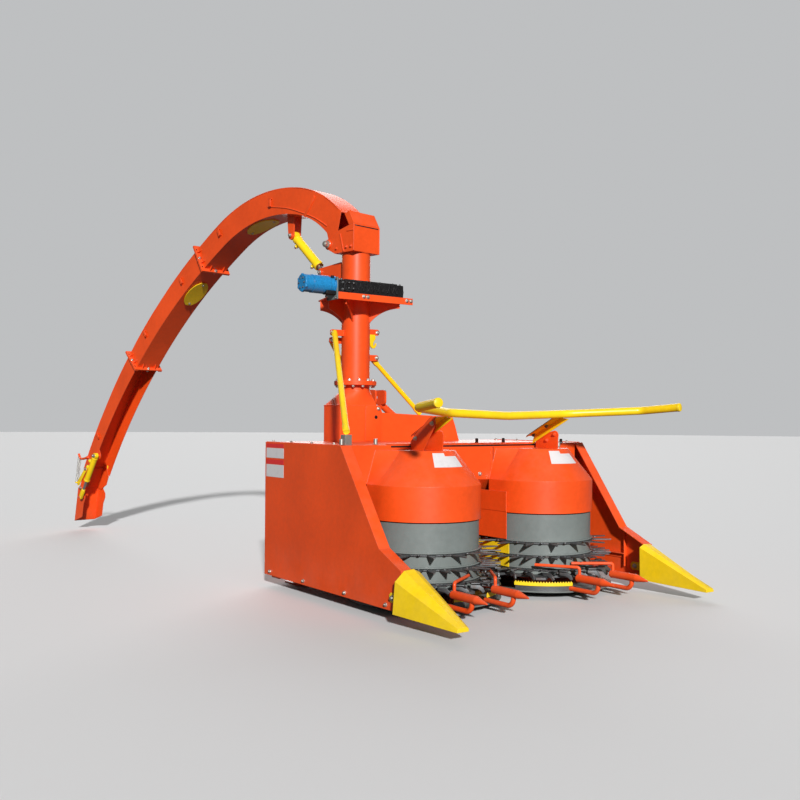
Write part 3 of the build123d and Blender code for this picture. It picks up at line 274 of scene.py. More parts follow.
def wire_dust(graph: Graph, given: dict) -> dict:
    """Mask of dust that lies on upward faces and splashes the lowest part.

    Args:
        graph: the group's tree.
        given: its inputs by name.

    Returns:
        Its outputs by name.
    """
    up = graph.add("ShaderNodeSeparateXYZ", {0: graph.facing()}).outputs["Z"]
    height = graph.add("ShaderNodeSeparateXYZ", {0: graph.place()}).outputs["Z"]
    low = graph.ramp(height, 0.05, 0.3, 0.55, 0.0)
    lying = graph.math("MAXIMUM", graph.ramp(up, 0.35, 0.95), low)
    cloud = graph.ramp(graph.noise(7.0, 6.0, 0.65), 0.38, 0.72)
    return {"Mask": graph.math("MULTIPLY", graph.math("MULTIPLY", lying, cloud), given["Amount"], clamp=True)}


def wire_paint_skin(graph: Graph, given: dict) -> dict:
    """Slow change of tone, and the fine ripple of sprayed paint.

    Args:
        graph: the group's tree.
        given: its inputs by name.

    Returns:
        Its outputs by name.
    """
    slow, fine = graph.noise(2.6, 3.0, 0.5), graph.noise(38.0, 3.0, 0.6)
    tone = graph.math("ADD", graph.math("MULTIPLY", slow, 0.7), graph.math("MULTIPLY", fine, 0.3))
    return {"Tone": graph.ramp(tone, 0.36, 0.64), "Height": graph.noise(given["Ripple"], 2.0, 0.5)}


def wire_rolled_steel(graph: Graph, given: dict) -> dict:
    """Streaks up and down, and faint patches, of bare steel."""
    patch = graph.ramp(graph.noise(14.0, 5.0, 0.7), 0.5, 0.72)
    return {"Streak": graph.noise(given["Grain"], 4.0, 0.6, (1.0, 1.0, 9.0)), "Patch": patch}


def wire_cast_grain(graph: Graph, given: dict) -> dict:
    """Pitted height and shade of a sand casting.

    Args:
        graph: the group's tree.
        given: its inputs by name.

    Returns:
        Its outputs by name.
    """
    pits = graph.add("ShaderNodeTexVoronoi", {"Vector": graph.place(), "Scale": given["Grain"]}).outputs[0]
    lumps = graph.noise(given["Grain"], 4.0, 0.7)
    height = graph.math("ADD", graph.math("MULTIPLY", pits, 0.6), lumps)
    return {"Height": height, "Shade": graph.ramp(lumps, 0.35, 0.65)}


VALUE, NORMAL = "NodeSocketFloat", "NodeSocketVector"
WORN_EDGE = ShaderGroup("worn_edge", {"Radius": 0.003, "Wear": 0.5}, {"Mask": VALUE, "Normal": NORMAL},
                        wire_worn_edge)
DUST = ShaderGroup("settled_dust", {"Amount": 0.3}, {"Mask": VALUE}, wire_dust)
PAINT_SKIN = ShaderGroup("paint_skin", {"Ripple": 420.0}, {"Tone": VALUE, "Height": VALUE}, wire_paint_skin)
ROLLED_STEEL = ShaderGroup("rolled_steel", {"Grain": 60.0}, {"Streak": VALUE, "Patch": VALUE},
                           wire_rolled_steel)
CAST_GRAIN = ShaderGroup("cast_grain", {"Grain": 260.0}, {"Height": VALUE, "Shade": VALUE}, wire_cast_grain)

DRY_SOIL, DARK_SOIL = rgba((0.42, 0.36, 0.29)), rgba((0.3, 0.27, 0.23))
RUST, POLISHED = rgba((0.16, 0.07, 0.035)), rgba((0.55, 0.56, 0.56))
RUBBED_PAINT, RUBBED_IRON = rgba((0.34, 0.33, 0.32)), rgba((0.3, 0.3, 0.3))


# ---- finishes
@dataclass(frozen=True)
class Finish:
    """What every finish knows: its name, the slot it stands in, and its darkest and lightest tone."""

    name: str
    slot: Slot
    colour: Triple
    roughness: float = 0.4
    tones: Pair = field(default=(0.86, 1.08), kw_only=True)

    def start(self) -> tuple[bpy.types.Material, Graph, bpy.types.Node]:
        """Make an empty material with its surface shader in place.

        Returns:
            The material, its tree and its shader.
        """
        made = bpy.data.materials.new(self.name)
        made.use_nodes = True
        made.node_tree.nodes.clear()
        made.diffuse_color = rgba(self.colour)
        graph = Graph(made.node_tree)
        shader = graph.add("ShaderNodeBsdfPrincipled", {"Roughness": self.roughness})
        graph.add("ShaderNodeOutputMaterial", {"Surface": shader.outputs[0]})
        return made, graph, shader

    def material(self) -> bpy.types.Material:
        """The finish as a material."""
        raise NotImplementedError

    def shade(self, factor: float) -> tuple[float, float, float, float]:
        """The finish's colour, lighter or darker."""
        return rgba([min(1.0, c * factor) for c in self.colour])

    def mottled(self, graph: Graph, share: Socket) -> Socket:
        """The finish's colour between its two tones."""
        return graph.mix(share, self.shade(self.tones[0]), self.shade(self.tones[1]))


@dataclass(frozen=True)
class PaintFinish(Finish):
    """Sprayed paint on steel: rippled, a little uneven, rubbed on its edges and dusty."""

    wear: float = 0.35
    dust: float = 0.18
    coat: float = 0.2
    ripple: float = 420.0

    def material(self) -> bpy.types.Material:
        """Make the paint as a material.

        Returns:
            The material.
        """
        made, graph, shader = self.start()
        skin = PAINT_SKIN.use(graph, Ripple=self.ripple)
        edge = WORN_EDGE.use(graph, Wear=self.wear)
        dust = DUST.use(graph, Amount=self.dust)["Mask"]
        soiled = graph.mix(dust, self.mottled(graph, skin["Tone"]), DRY_SOIL)
        rough = graph.ramp(skin["Tone"], 0.0, 1.0, self.roughness - 0.05, self.roughness + 0.07)
        graph.feed(shader, {"Base Color": graph.mix(edge["Mask"], soiled, RUBBED_PAINT),
                            "Roughness": graph.math("ADD", rough, graph.math("MULTIPLY", dust, 0.5)),
                            "Metallic": graph.math("MULTIPLY", edge["Mask"], 0.8),
                            "Coat Weight": self.coat, "Coat Roughness": 0.16, "Specular IOR Level": 0.35,
                            "Normal": graph.bump(0.12, 0.0006, skin["Height"], Normal=edge["Normal"])})
        return made


@dataclass(frozen=True)
class SteelFinish(Finish):
    """Bare or plated steel with streaks, and rust where it is asked for."""

    rust: float = 0.0
    grain: float = 60.0
    metallic: float = 0.9
    tones: Pair = field(default=(0.65, 1.3), kw_only=True)

    def material(self) -> bpy.types.Material:
        """Make the steel as a material.

        Returns:
            The material.
        """
        made, graph, shader = self.start()
        steel = ROLLED_STEEL.use(graph, Grain=self.grain)
        edge = WORN_EDGE.use(graph, Radius=0.0015, Wear=0.9)
        rusty = graph.math("MULTIPLY", steel["Patch"], self.rust)
        colour = graph.mix(rusty, self.mottled(graph, steel["Streak"]), RUST)
        rough = graph.ramp(steel["Streak"], 0.3, 0.7, self.roughness - 0.07, self.roughness + 0.12)
        graph.feed(shader, {"Base Color": graph.mix(edge["Mask"], colour, POLISHED),
                            "Roughness": graph.math("ADD", rough, graph.math("MULTIPLY", rusty, 0.35)),
                            "Metallic": graph.ramp(rusty, 0.0, 1.0, self.metallic, 0.1),
                            "Normal": graph.bump(0.25, 0.0005, steel["Streak"], Normal=edge["Normal"])})
        return made


@dataclass(frozen=True)
class CastFinish(Finish):
    """Paint over a rough casting."""

    grain: float = 260.0
    depth: float = 0.0022
    dust: float = 0.3
    gloss: float = 0.45
    tones: Pair = field(default=(0.7, 1.35), kw_only=True)

    def material(self) -> bpy.types.Material:
        """Make the painted casting as a material.

        Returns:
            The material.
        """
        made, graph, shader = self.start()
        cast = CAST_GRAIN.use(graph, Grain=self.grain)
        edge = WORN_EDGE.use(graph, Radius=0.004, Wear=0.3)
        dust = DUST.use(graph, Amount=self.dust)["Mask"]
        soiled = graph.mix(dust, self.mottled(graph, cast["Shade"]), DARK_SOIL)
        rough = graph.ramp(cast["Shade"], 0.0, 1.0, self.roughness - 0.08, self.roughness + 0.08)
        graph.feed(shader, {"Base Color": graph.mix(edge["Mask"], soiled, RUBBED_IRON), "Roughness": rough,
                            "Specular IOR Level": self.gloss,
                            "Normal": graph.bump(0.7, self.depth, cast["Height"], Normal=edge["Normal"])})
        return made


@dataclass(frozen=True)
class FilmFinish(Finish):
    """Vinyl film, lightly soiled."""

    tones: Pair = field(default=(0.94, 1.0), kw_only=True)

    def material(self) -> bpy.types.Material:
        """Make the film as a material.

        Returns:
            The material.
        """
        made, graph, shader = self.start()
        skin = PAINT_SKIN.use(graph, Ripple=900.0)
        soil = graph.ramp(graph.noise(26.0, 5.0, 0.7), 0.52, 0.75, 0.0, 0.35)
        graph.feed(shader, {"Base Color": graph.mix(soil, self.mottled(graph, skin["Tone"]), self.shade(0.6)),
                            "Normal": graph.bump(0.05, 0.0003, skin["Height"])})
        return made


ORANGE = PaintFinish("orange_enamel", Slot.ORANGE, (0.82, 0.078, 0.0085), 0.42)
YELLOW = PaintFinish("yellow_enamel", Slot.YELLOW, (0.92, 0.62, 0.007), 0.38, wear=0.4, dust=0.14)
GREY = PaintFinish("grey_enamel", Slot.GREY, (0.168, 0.190, 0.181), 0.42, wear=0.55)
BLUE = CastFinish("blue_motor_enamel", Slot.BLUE, (0.011, 0.205, 0.46), 0.38, grain=180.0, depth=0.0008,
                  dust=0.05)
BLACK = CastFinish("black_casting", Slot.BLACK, (0.0065, 0.0060, 0.0065), 0.55, grain=240.0, depth=0.0035,
                   dust=0.03, gloss=0.2)
DARK = SteelFinish("dark_rolled_steel", Slot.DARK, (0.13, 0.135, 0.14), 0.46, rust=0.55, metallic=0.75)
BRIGHT = SteelFinish("ground_steel", Slot.BRIGHT, (0.55, 0.56, 0.56), 0.26, grain=120.0)
ZINC = SteelFinish("zinc_plating", Slot.BRIGHT, (0.62, 0.61, 0.55), 0.34, rust=0.12, grain=220.0)
BRONZE = SteelFinish("gland_ring", Slot.DARK, (0.30, 0.12, 0.05), 0.4, grain=200.0, metallic=0.6)
WHITE_FILM = FilmFinish("white_film", Slot.BRIGHT, (0.66, 0.64, 0.64), 0.42)
RED_FILM = FilmFinish("red_film", Slot.ORANGE, (0.72, 0.03, 0.03), 0.42)


# ---- meshes
SMOOTH = 32.0  # angle in degrees above which an edge stays sharp


def frame_of(direction: Point) -> Matrix:
    """Turn that takes z onto a direction."""
    return Vector(direction).normalized().to_track_quat("Z", "Y").to_matrix()


def new_object(name: str, data: bpy.types.Mesh, smooth: float = SMOOTH) -> Item:
    """Put a mesh into the scene at the origin.

    Args:
        name: name of the object and its mesh.
        data: the mesh.
        smooth: angle in degrees above which an edge stays sharp.

    Returns:
        The object.
    """
    data.name = name
    data.shade_smooth()
    data.set_sharp_from_angle(angle=radians(smooth))
    made = bpy.data.objects.new(name, data)
    bpy.context.scene.collection.objects.link(made)
    return made


class Workshop:
    """Holds the finishes as materials, and hands pieces over to their bodies."""

    def __init__(self) -> None:
        """Start with no materials made."""
        self.materials: dict[str, bpy.types.Material] = {}
        self.count = 0

    def coat(self, finish: Finish) -> bpy.types.Material:
        """The material of a finish, made once."""
        return self.materials.get(finish.name) or self.materials.setdefault(finish.name, finish.material())

    def hand_over(self, item: Item, finish: Finish, body: Body) -> Item:
        """Fix a finished mesh to its body.

        Args:
            item: the object, already at the origin with its finish on.
            finish: the finish it wears.
            body: the body it moves with.

        Returns:
            The same object.
        """
        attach(item, body.value)
        self.report(item, body.value, finish)
        return item

    def report(self, item: Item, where: str, finish: Finish) -> None:
        """Count a piece and log it."""
        self.count += 1
        LOG.info("%s on %s in %s, %d faces", item.name, where, finish.name, len(item.data.polygons))


SHOP = Workshop()


class Shape:
    """Solids gathered into one mesh before it becomes a piece."""

    def __init__(self) -> None:
        """Start empty."""
        self.mesh = bmesh.new()

    def slab(self, corners: Sequence[Point], rise: Point, bevel: float = 0.0) -> "Shape":
        """Add a flat outline pushed along a vector.

        Args:
            corners: the outline, in order.
            rise: the push.
            bevel: width of its eased edges.

        Returns:
            The shape itself.
        """
        push = Vector(rise)
        low = [self.mesh.verts.new(Vector(c)) for c in corners]
        high = [self.mesh.verts.new(Vector(c) + push) for c in corners]
        faces = [self.mesh.faces.new(low), self.mesh.faces.new(list(reversed(high)))]
        count = len(low)
        for i in range(count):
            j = (i + 1) % count
            faces.append(self.mesh.faces.new((low[j], low[i], high[i], high[j])))
        if bevel:
            edges = list(dict.fromkeys(e for f in faces for e in f.edges))
            bmesh.ops.bevel(self.mesh, geom=edges, offset=bevel, segments=2, profile=0.6, affect="EDGES")
        return self

    def block(self, centre: Point, size: Point, turn: Matrix | None = None, bevel: float = 0.002) -> "Shape":
        """Add a box with eased edges.

        Args:
            centre: its middle.
            size: its three sides.
            turn: how it is turned about its middle.
            bevel: width of its eased edges.

        Returns:
            The shape itself.
        """
        turn = turn or Matrix.Identity(3)
        half = [s / 2 for s in size]
        middle = Vector(centre)
        flat = [(-half[0], -half[1]), (half[0], -half[1]), (half[0], half[1]), (-half[0], half[1])]
        corners = [middle + turn @ Vector((x, y, -half[2])) for x, y in flat]
        return self.slab(corners, turn @ Vector((0, 0, size[2])), bevel)

    def bridge(self, rings: Sequence[Sequence[bmesh.types.BMVert]], steps: int) -> "Shape":
        """Close rings of points into a skin with two ends.

        Args:
            rings: the rings, each of one point or of as many as there are steps.
            steps: faces round the skin.

        Returns:
            The shape itself.
        """
        for low, high in zip(rings, rings[1:]):
            for i in range(steps):
                j = (i + 1) % steps
                ring = [low[i % len(low)], low[j % len(low)], high[j % len(high)], high[i % len(high)]]
                self.mesh.faces.new(list(dict.fromkeys(ring)))
        for end in (rings[0], rings[-1]):
            if len(end) > 1:
                self.mesh.faces.new(end)
        return self

    def lathe(self, base: Point, axis: Point, profile: Sequence[Point], steps: int = 40) -> "Shape":
        """Add a turned solid.

        Args:
            base: point on the axis at height zero.
            axis: direction of the axis.
            profile: radius and height of each ring, from one end to the other; radius 0 closes it.
            steps: faces round it.

        Returns:
            The shape itself.
        """
        turn, middle = frame_of(axis), Vector(base)
        angles = [tau * i / steps for i in range(steps)]
        rings = [[self.mesh.verts.new(middle + turn @ Vector((radius * cos(a), radius * sin(a), height)))
                  for a in (angles if radius > 1e-6 else [0.0])] for radius, height in profile]
        return self.bridge(rings, steps)

    def rod(self, start: Point, end: Point, radius: float, tip: float | None = None, ease: float = 0.0015,
            steps: int = 28) -> "Shape":
        """Add a round bar with eased ends.

        Args:
            start: middle of its first end.
            end: middle of its other end.
            radius: its radius.
            tip: radius at its end, where that differs.
            ease: width of its eased edges.
            steps: faces round it.

        Returns:
            The shape itself.
        """
        a, b = Vector(start), Vector(end)
        length, tip = (b - a).length, radius if tip is None else tip
        ease = min(ease, radius * 0.4, tip * 0.9, length * 0.3)
        profile = [(radius - ease, 0), (radius, ease), (tip, length - ease), (tip - ease, length)]
        return self.lathe(a, b - a, profile, steps)

    def tube(self, points: Sequence[Point], radius: float, steps: int = 14) -> "Shape":
        """Add a round bar that follows a line, closed at both ends.

        Args:
            points: the line.
            radius: the bar's radius.
            steps: faces round it.

        Returns:
            The shape itself.
        """
        path = [Vector(p) for p in points]
        angles = [tau * k / steps for k in range(steps)]
        rings, side = [], None
        for i, here in enumerate(path):
            ahead = (path[min(i + 1, len(path) - 1)] - path[max(i - 1, 0)]).normalized()
            if side is None:
                side = ahead.orthogonal().normalized()
            side = (side - ahead * side.dot(ahead)).normalized()
            over = ahead.cross(side)
            rings.append([self.mesh.verts.new(here + radius * (side * cos(a) + over * sin(a)))
                          for a in angles])
        return self.bridge(rings, steps)

    def skin(self, grid: Sequence[Sequence[Vector]], lifts: Sequence[Sequence[Vector]]) -> "Shape":
        """Add a thin closed sheet.

        Args:
            grid: rows of points on one face.
            lifts: the same rows on the other face.

        Returns:
            The shape itself.
        """
        low = [[self.mesh.verts.new(p) for p in row] for row in grid]
        high = [[self.mesh.verts.new(p) for p in row] for row in lifts]
        rows, cols = len(low), len(low[0])
        for r in range(rows - 1):
            for c in range(cols - 1):
                self.mesh.faces.new((low[r][c], low[r + 1][c], low[r + 1][c + 1], low[r][c + 1]))
                self.mesh.faces.new((high[r][c], high[r][c + 1], high[r + 1][c + 1], high[r + 1][c]))
        rim = ([(0, c) for c in range(cols)] + [(r, cols - 1) for r in range(1, rows)]
               + [(rows - 1, c) for c in range(cols - 2, -1, -1)] + [(r, 0) for r in range(rows - 2, 0, -1)])
        for (r0, c0), (r1, c1) in zip(rim, rim[1:] + rim[:1]):
            self.mesh.faces.new((low[r0][c0], low[r1][c1], high[r1][c1], high[r0][c0]))
        return self

    def item(self, name: str, finish: Finish) -> Item:
        """Close the mesh into an object at the origin.

        Args:
            name: name of the object.
            finish: the finish it wears.

        Returns:
            The object, on no body yet.
        """
        bmesh.ops.recalc_face_normals(self.mesh, faces=self.mesh.faces)
        data = bpy.data.meshes.new(name)
        self.mesh.to_mesh(data)
        self.mesh.free()
        data.materials.append(SHOP.coat(finish))
        return new_object(name, data)

    def piece(self, name: str, finish: Finish, body: Body = Body.CHASSIS) -> Item:
        """Close the mesh into an object and hand it over to its body."""
        return SHOP.hand_over(self.item(name, finish), finish, body)


def upright(x: float, ys: Pair, zs: Pair) -> list[Triple]:
    """Corners of a rectangle that stands across the machine at x."""
    return [(x, ys[0], zs[0]), (x, ys[1], zs[0]), (x, ys[1], zs[1]), (x, ys[0], zs[1])]


@dataclass(frozen=True)
class Place:
    """Where a repeated part sits: its foot, the way its z and x point, and its size."""

    at: Point
    out: Point
    size: float = 1.0
    aside: Point | None = None

    def turn(self) -> Triple:
        """Find the turn of a part that sits here.

        Returns:
            Euler angles that take z to out, and x as near as they can to aside.
        """
        z = Vector(self.out).normalized()
        hint = Vector(self.aside) if self.aside is not None else z.orthogonal()
        x = (hint - z * hint.dot(z)).normalized()
        return tuple(Matrix((x, z.cross(x), z)).transposed().to_euler())


# ---- geometry nodes
class Tree:
    """A geometry node tree with named inputs, run on a mesh and turned into a plain one."""

    name = "tree"
    inputs: dict[str, tuple[str, object]] = {}

    def __init__(self) -> None:
        """Make the tree, wired to end in real geometry that wears its finish."""
        self.tree = bpy.data.node_groups.new(self.name, "GeometryNodeTree")
        face = self.tree.interface
        face.new_socket(name="Geometry", in_out="INPUT", socket_type="NodeSocketGeometry")
        for label, (kind, value) in {**self.inputs, "Finish": ("NodeSocketMaterial", None)}.items():
            socket = face.new_socket(name=label, in_out="INPUT", socket_type=kind)
            if value is not None:
                socket.default_value = value
        face.new_socket(name="Geometry", in_out="OUTPUT", socket_type="NodeSocketGeometry")
        graph = Graph(self.tree)
        given = graph.add("NodeGroupInput").outputs
        real = graph.add("GeometryNodeRealizeInstances", {"Geometry": self.wire(graph, given)}).outputs[0]
        feeds = {"Geometry": real, "Material": given["Finish"]}
        graph.add("NodeGroupOutput", {"Geometry": graph.add("GeometryNodeSetMaterial", feeds).outputs[0]})

    def wire(self, graph: Graph, given: bpy.types.NodeOutputs) -> Socket:
        """Wire the tree's own nodes and give back its geometry."""
        raise NotImplementedError

    def scatter(self, graph: Graph, given: bpy.types.NodeOutputs, part: Socket, spin: object) -> Socket:
        """Set a part on every point.

        Args:
            graph: the tree being wired.
            given: its inputs.
            part: what is set on the points.
            spin: the most that a part turns at random about its own axis, in radians.

        Returns:
            The instances, each turned and sized by its point's own values.
        """
        turn = graph.add("GeometryNodeInputNamedAttribute", {"Name": "turn"}, data_type="FLOAT_VECTOR")
        size = graph.add("GeometryNodeInputNamedAttribute", {"Name": "size"}, data_type="FLOAT")
        stray = graph.height(graph.random(0.0, spin, given["Seed"]))
        whole, own = (graph.add("FunctionNodeEulerToRotation", {0: angles}).outputs[0]
                      for angles in (turn.outputs[0], stray))
        pose = graph.add("FunctionNodeRotateRotation", {"Rotation": whole, "Rotate By": own},
                         rotation_space="LOCAL")
        return graph.add("GeometryNodeInstanceOnPoints",
                         {"Points": given["Geometry"], "Instance": part, "Rotation": pose.outputs[0],
                          "Scale": size.outputs[0]}).outputs[0]

    def sweep(self, graph: Graph, line: Socket, radius: Socket) -> Socket:
        """Give a line a round body with closed ends.

        Args:
            graph: the tree being wired.
            line: the curve.
            radius: the body's radius where the curve's own is 1.

        Returns:
            The body's mesh.
        """
        section = graph.add("GeometryNodeCurvePrimitiveCircle", {"Resolution": 7, "Radius": radius})
        return graph.add("GeometryNodeCurveToMesh", {"Curve": line, "Profile Curve": section.outputs["Curve"],
                                                     "Fill Caps": True}).outputs[0]

    def socket(self, label: str) -> str:
        """Identifier of a named input."""
        return next(s.identifier for s in self.tree.interface.items_tree
                    if s.name == label and s.in_out == "INPUT")

    def run(self, seed_mesh: bpy.types.Mesh, name: str, finish: Finish, smooth: float = SMOOTH,
            **values: object) -> Item:
        """Run the tree on a mesh.

        Args:
            seed_mesh: points or lines that the tree works on.
            name: name of the object made.
            finish: the finish it wears.
            smooth: angle in degrees above which an edge stays sharp.
            values: inputs by name, with _ for a space.

        Returns:
            A plain mesh object at the origin, on no body yet.
        """
        source = bpy.data.objects.new(name + "_source", seed_mesh)
        bpy.context.scene.collection.objects.link(source)
        modifier = source.modifiers.new("pattern", "NODES")
        modifier.node_group = self.tree
        modifier[self.socket("Finish")] = SHOP.coat(finish)
        for label, value in values.items():
            modifier[self.socket(label.replace("_", " "))] = value
        source.update_tag()
        bpy.context.view_layer.update()
        depsgraph = bpy.context.evaluated_depsgraph_get()
        data = bpy.data.meshes.new_from_object(source.evaluated_get(depsgraph), depsgraph=depsgraph)
        bpy.data.objects.remove(source)
        return new_object(name, data, smooth)


def point_mesh(places: Sequence[Place]) -> bpy.types.Mesh:
    """Make a mesh of loose points that carry each place's turn and size.

    Args:
        places: the places.

    Returns:
        The mesh.
    """
    data = bpy.data.meshes.new("places")
    data.from_pydata([tuple(p.at) for p in places], [], [])
    turn = data.attributes.new("turn", "FLOAT_VECTOR", "POINT")
    turn.data.foreach_set("vector", [v for p in places for v in p.turn()])
    size = data.attributes.new("size", "FLOAT", "POINT")
    size.data.foreach_set("value", [p.size for p in places])
    return data


class PatternTree(Tree):
    """Repeats a part on points."""

    name = "repeat_part"
    inputs = {"Part": ("NodeSocketObject", None), "Loose spin": (VALUE, 0.0), "Seed": ("NodeSocketInt", 7)}

    def wire(self, graph: Graph, given: bpy.types.NodeOutputs) -> Socket:
        """Instances of the part on the points."""
        part = graph.add("GeometryNodeObjectInfo", {"Object": given["Part"]}).outputs["Geometry"]
        return self.scatter(graph, given, part, given["Loose spin"])

    def repeat(self, part: Shape, places: Sequence[Place], name: str, finish: Finish,
               body: Body = Body.CHASSIS) -> Item:
        """Repeat a part and hand the result over to a body.

        Args:
            part: the part, drawn at the origin.
            places: where it sits.
            name: name of the piece.
            finish: the finish it wears.
            body: the body it moves with.

        Returns:
            The piece.
        """
        pattern = part.item(name + "_part", finish)
        made = self.run(point_mesh(places), name, finish, Part=pattern)
        bpy.data.objects.remove(pattern)
        return SHOP.hand_over(made, finish, body)


class BoltTree(Tree):
    """Hexagon bolt heads with washers, on points, made wholly from their own sizes."""

    name = "bolt_heads"
    inputs = {"Across corners": (VALUE, 0.0105), "Head": (VALUE, 0.0075), "Washer": (VALUE, 0.013),
              "Shank": (VALUE, 0.006), "Seed": ("NodeSocketInt", 3)}
    sixth_turn = 1.05  # in radians; a head looks the same after it

    def disc(self, graph: Graph, sides: int, radius: object, depth: object, middle: object) -> Socket:
        """Make a short cylinder on the z axis.

        Args:
            graph: the tree being wired.
            sides: faces round it.
            radius: its radius.
            depth: its height.
            middle: how far up its middle is.

        Returns:
            Its mesh.
        """
        made = graph.add("GeometryNodeMeshCylinder", {"Vertices": sides, "Radius": radius, "Depth": depth})
        return graph.add("GeometryNodeTransform",
                         {"Geometry": made.outputs["Mesh"], "Translation": graph.height(middle)}).outputs[0]

    def wire(self, graph: Graph, given: bpy.types.NodeOutputs) -> Socket:
        """Join washer, head, nut crown and shank end, and set them on every point.

        Args:
            graph: the tree being wired.
            given: its inputs.

        Returns:
            The instances.
        """
        head, corners = given["Head"], given["Across corners"]
        hexagon_z = graph.math("ADD", graph.math("MULTIPLY", head, 0.5), 0.0025)
        crown, shank = graph.math("MULTIPLY", corners, 0.84), graph.math("MULTIPLY", corners, 0.5)
        parts = (self.disc(graph, 20, given["Washer"], 0.003, 0.0012),
                 self.disc(graph, 6, corners, head, hexagon_z),
                 self.disc(graph, 14, crown, 0.0012, graph.math("ADD", head, 0.003)),
                 self.disc(graph, 10, shank, given["Shank"], graph.math("ADD", head, 0.004)))
        bolt = graph.add("GeometryNodeJoinGeometry")
        for part in parts:
            graph.tree.links.new(part, bolt.inputs[0])
        return self.scatter(graph, given, bolt.outputs[0], self.sixth_turn)

    def fit(self, places: Sequence[Place], name: str, body: Body = Body.CHASSIS, finish: Finish = ZINC,
            **sizes: float) -> Item:
        """Set bolts at places and hand them over to a body."""
        return SHOP.hand_over(self.run(point_mesh(places), name, finish, 25.0, **sizes), finish, body)


class WeldTree(Tree):
    """Rippled weld bead along lines."""

    name = "weld_bead"
    inputs = {"Radius": (VALUE, 0.003), "Ripple": (VALUE, 0.006), "Seed": ("NodeSocketInt", 11)}

    def wire(self, graph: Graph, given: bpy.types.NodeOutputs) -> Socket:
        """Resample the lines finely, with a radius that swells once a ripple.

        Args:
            graph: the tree being wired.
            given: its inputs.

        Returns:
            The beads.
        """
        line = graph.add("GeometryNodeMeshToCurve", {"Mesh": given["Geometry"]}).outputs[0]
        feeds = {"Curve": line, "Length": graph.math("MULTIPLY", given["Ripple"], 0.34)}
        fine = graph.add("GeometryNodeResampleCurve", feeds, mode="LENGTH").outputs[0]
        run = graph.add("GeometryNodeSplineParameter").outputs["Length"]
        turns = graph.math("MULTIPLY", graph.math("DIVIDE", run, given["Ripple"]), tau)
        wave = graph.math("MULTIPLY", graph.math("SINE", turns), 0.16)
        swell = graph.math("ADD", wave, graph.random(0.9, 1.12, given["Seed"]))
        grown = graph.add("GeometryNodeSetCurveRadius", {"Curve": fine, "Radius": swell}).outputs[0]
        return self.sweep(graph, grown, given["Radius"])

    def lay(self, lines: Sequence[Sequence[Point]], name: str, finish: Finish = ORANGE,
            body: Body = Body.CHASSIS, radius: float = 0.003, ripple: float = 0.006) -> Item:
        """Lay a bead along each line and hand it over to a body.

        Args:
            lines: the points of each line.
            name: name of the piece.
            finish: the finish it wears.
            body: the body it moves with.
            radius: the bead's radius.
            ripple: length of one ripple.

        Returns:
            The piece.
        """
        data = bpy.data.meshes.new(name + "_lines")
        edges, first = [], 0
        for line in lines:
            edges += [(first + i, first + i + 1) for i in range(len(line) - 1)]
            first += len(line)
        data.from_pydata([tuple(p) for line in lines for p in line], edges, [])
        return SHOP.hand_over(self.run(data, name, finish, 60.0, Radius=radius, Ripple=ripple), finish, body)


class SpringTree(Tree):
    """A tension spring wound from its own sizes."""

    name = "tension_spring"
    inputs = {"Turns": (VALUE, 18.0), "Coil": (VALUE, 0.011), "Wire": (VALUE, 0.0018),
              "Length": (VALUE, 0.12), "Start": ("NodeSocketVector", (0.0, 0.0, 0.0)),
              "Turn": ("NodeSocketVector", (0.0, 0.0, 0.0)), "Seed": ("NodeSocketInt", 1)}

    def wire(self, graph: Graph, given: bpy.types.NodeOutputs) -> Socket:
        """Wind a spiral of round wire and move it to where it hangs.

        Args:
            graph: the tree being wired.
            given: its inputs.

        Returns:
            The spring.
        """
        spiral = graph.add("GeometryNodeCurveSpiral",
                           {"Resolution": 14, "Rotations": given["Turns"], "Start Radius": given["Coil"],
                            "End Radius": given["Coil"], "Height": given["Length"]}).outputs[0]
        return graph.add("GeometryNodeTransform", {"Geometry": self.sweep(graph, spiral, given["Wire"]),
                                                   "Translation": given["Start"],
                                                   "Rotation": given["Turn"]}).outputs[0]

    def hang(self, start: Point, end: Point, name: str, finish: Finish, **sizes: float) -> Item:
        """Wind a spring between two points.

        Args:
            start: its first end.
            end: its other end.
            name: name of the piece.
            finish: the finish it wears.
            sizes: its Coil, Wire and Turns.

        Returns:
            The spring, on no body yet.
        """
        a, b = Vector(start), Vector(end)
        dot = bpy.data.meshes.new(name + "_dot")
        dot.from_pydata([(0, 0, 0)], [], [])
        return self.run(dot, name, finish, 60.0, Length=(b - a).length, Start=tuple(a),
                        Turn=tuple((b - a).to_track_quat("Z", "Y").to_euler()), **sizes)


PATTERN, BOLTS, WELDS, SPRINGS = PatternTree(), BoltTree(), WeldTree(), SpringTree()


class Surface:
    """A construction node's faces, to lay things on."""

    def __init__(self, *nodes: str) -> None:
        """Gather the faces of one or more nodes.

        Args:
            nodes: names of the nodes.
        """
        verts, faces = [], []
        for node in nodes:
            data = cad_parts[node].data
            first = len(verts)
            verts += [v.co.copy() for v in data.vertices]
            faces += [tuple(first + i for i in p.vertices) for p in data.polygons]
        self.faces = BVHTree.FromPolygons(verts, faces)

    def hit(self, start: Point, way: Point) -> tuple[Vector, Vector]:
        """Find where a ray meets the faces.

        Args:
            start: where the ray starts.
            way: the way it goes.

        Returns:
            The first point met, and the normal there on the ray's side.
        """
        at, normal, _, _ = self.faces.ray_cast(Vector(start), Vector(way).normalized())
        if at is None:
            raise ValueError(f"nothing in front of {tuple(start)} towards {tuple(way)}")
        return at, normal if normal.dot(Vector(way)) < 0 else -normal


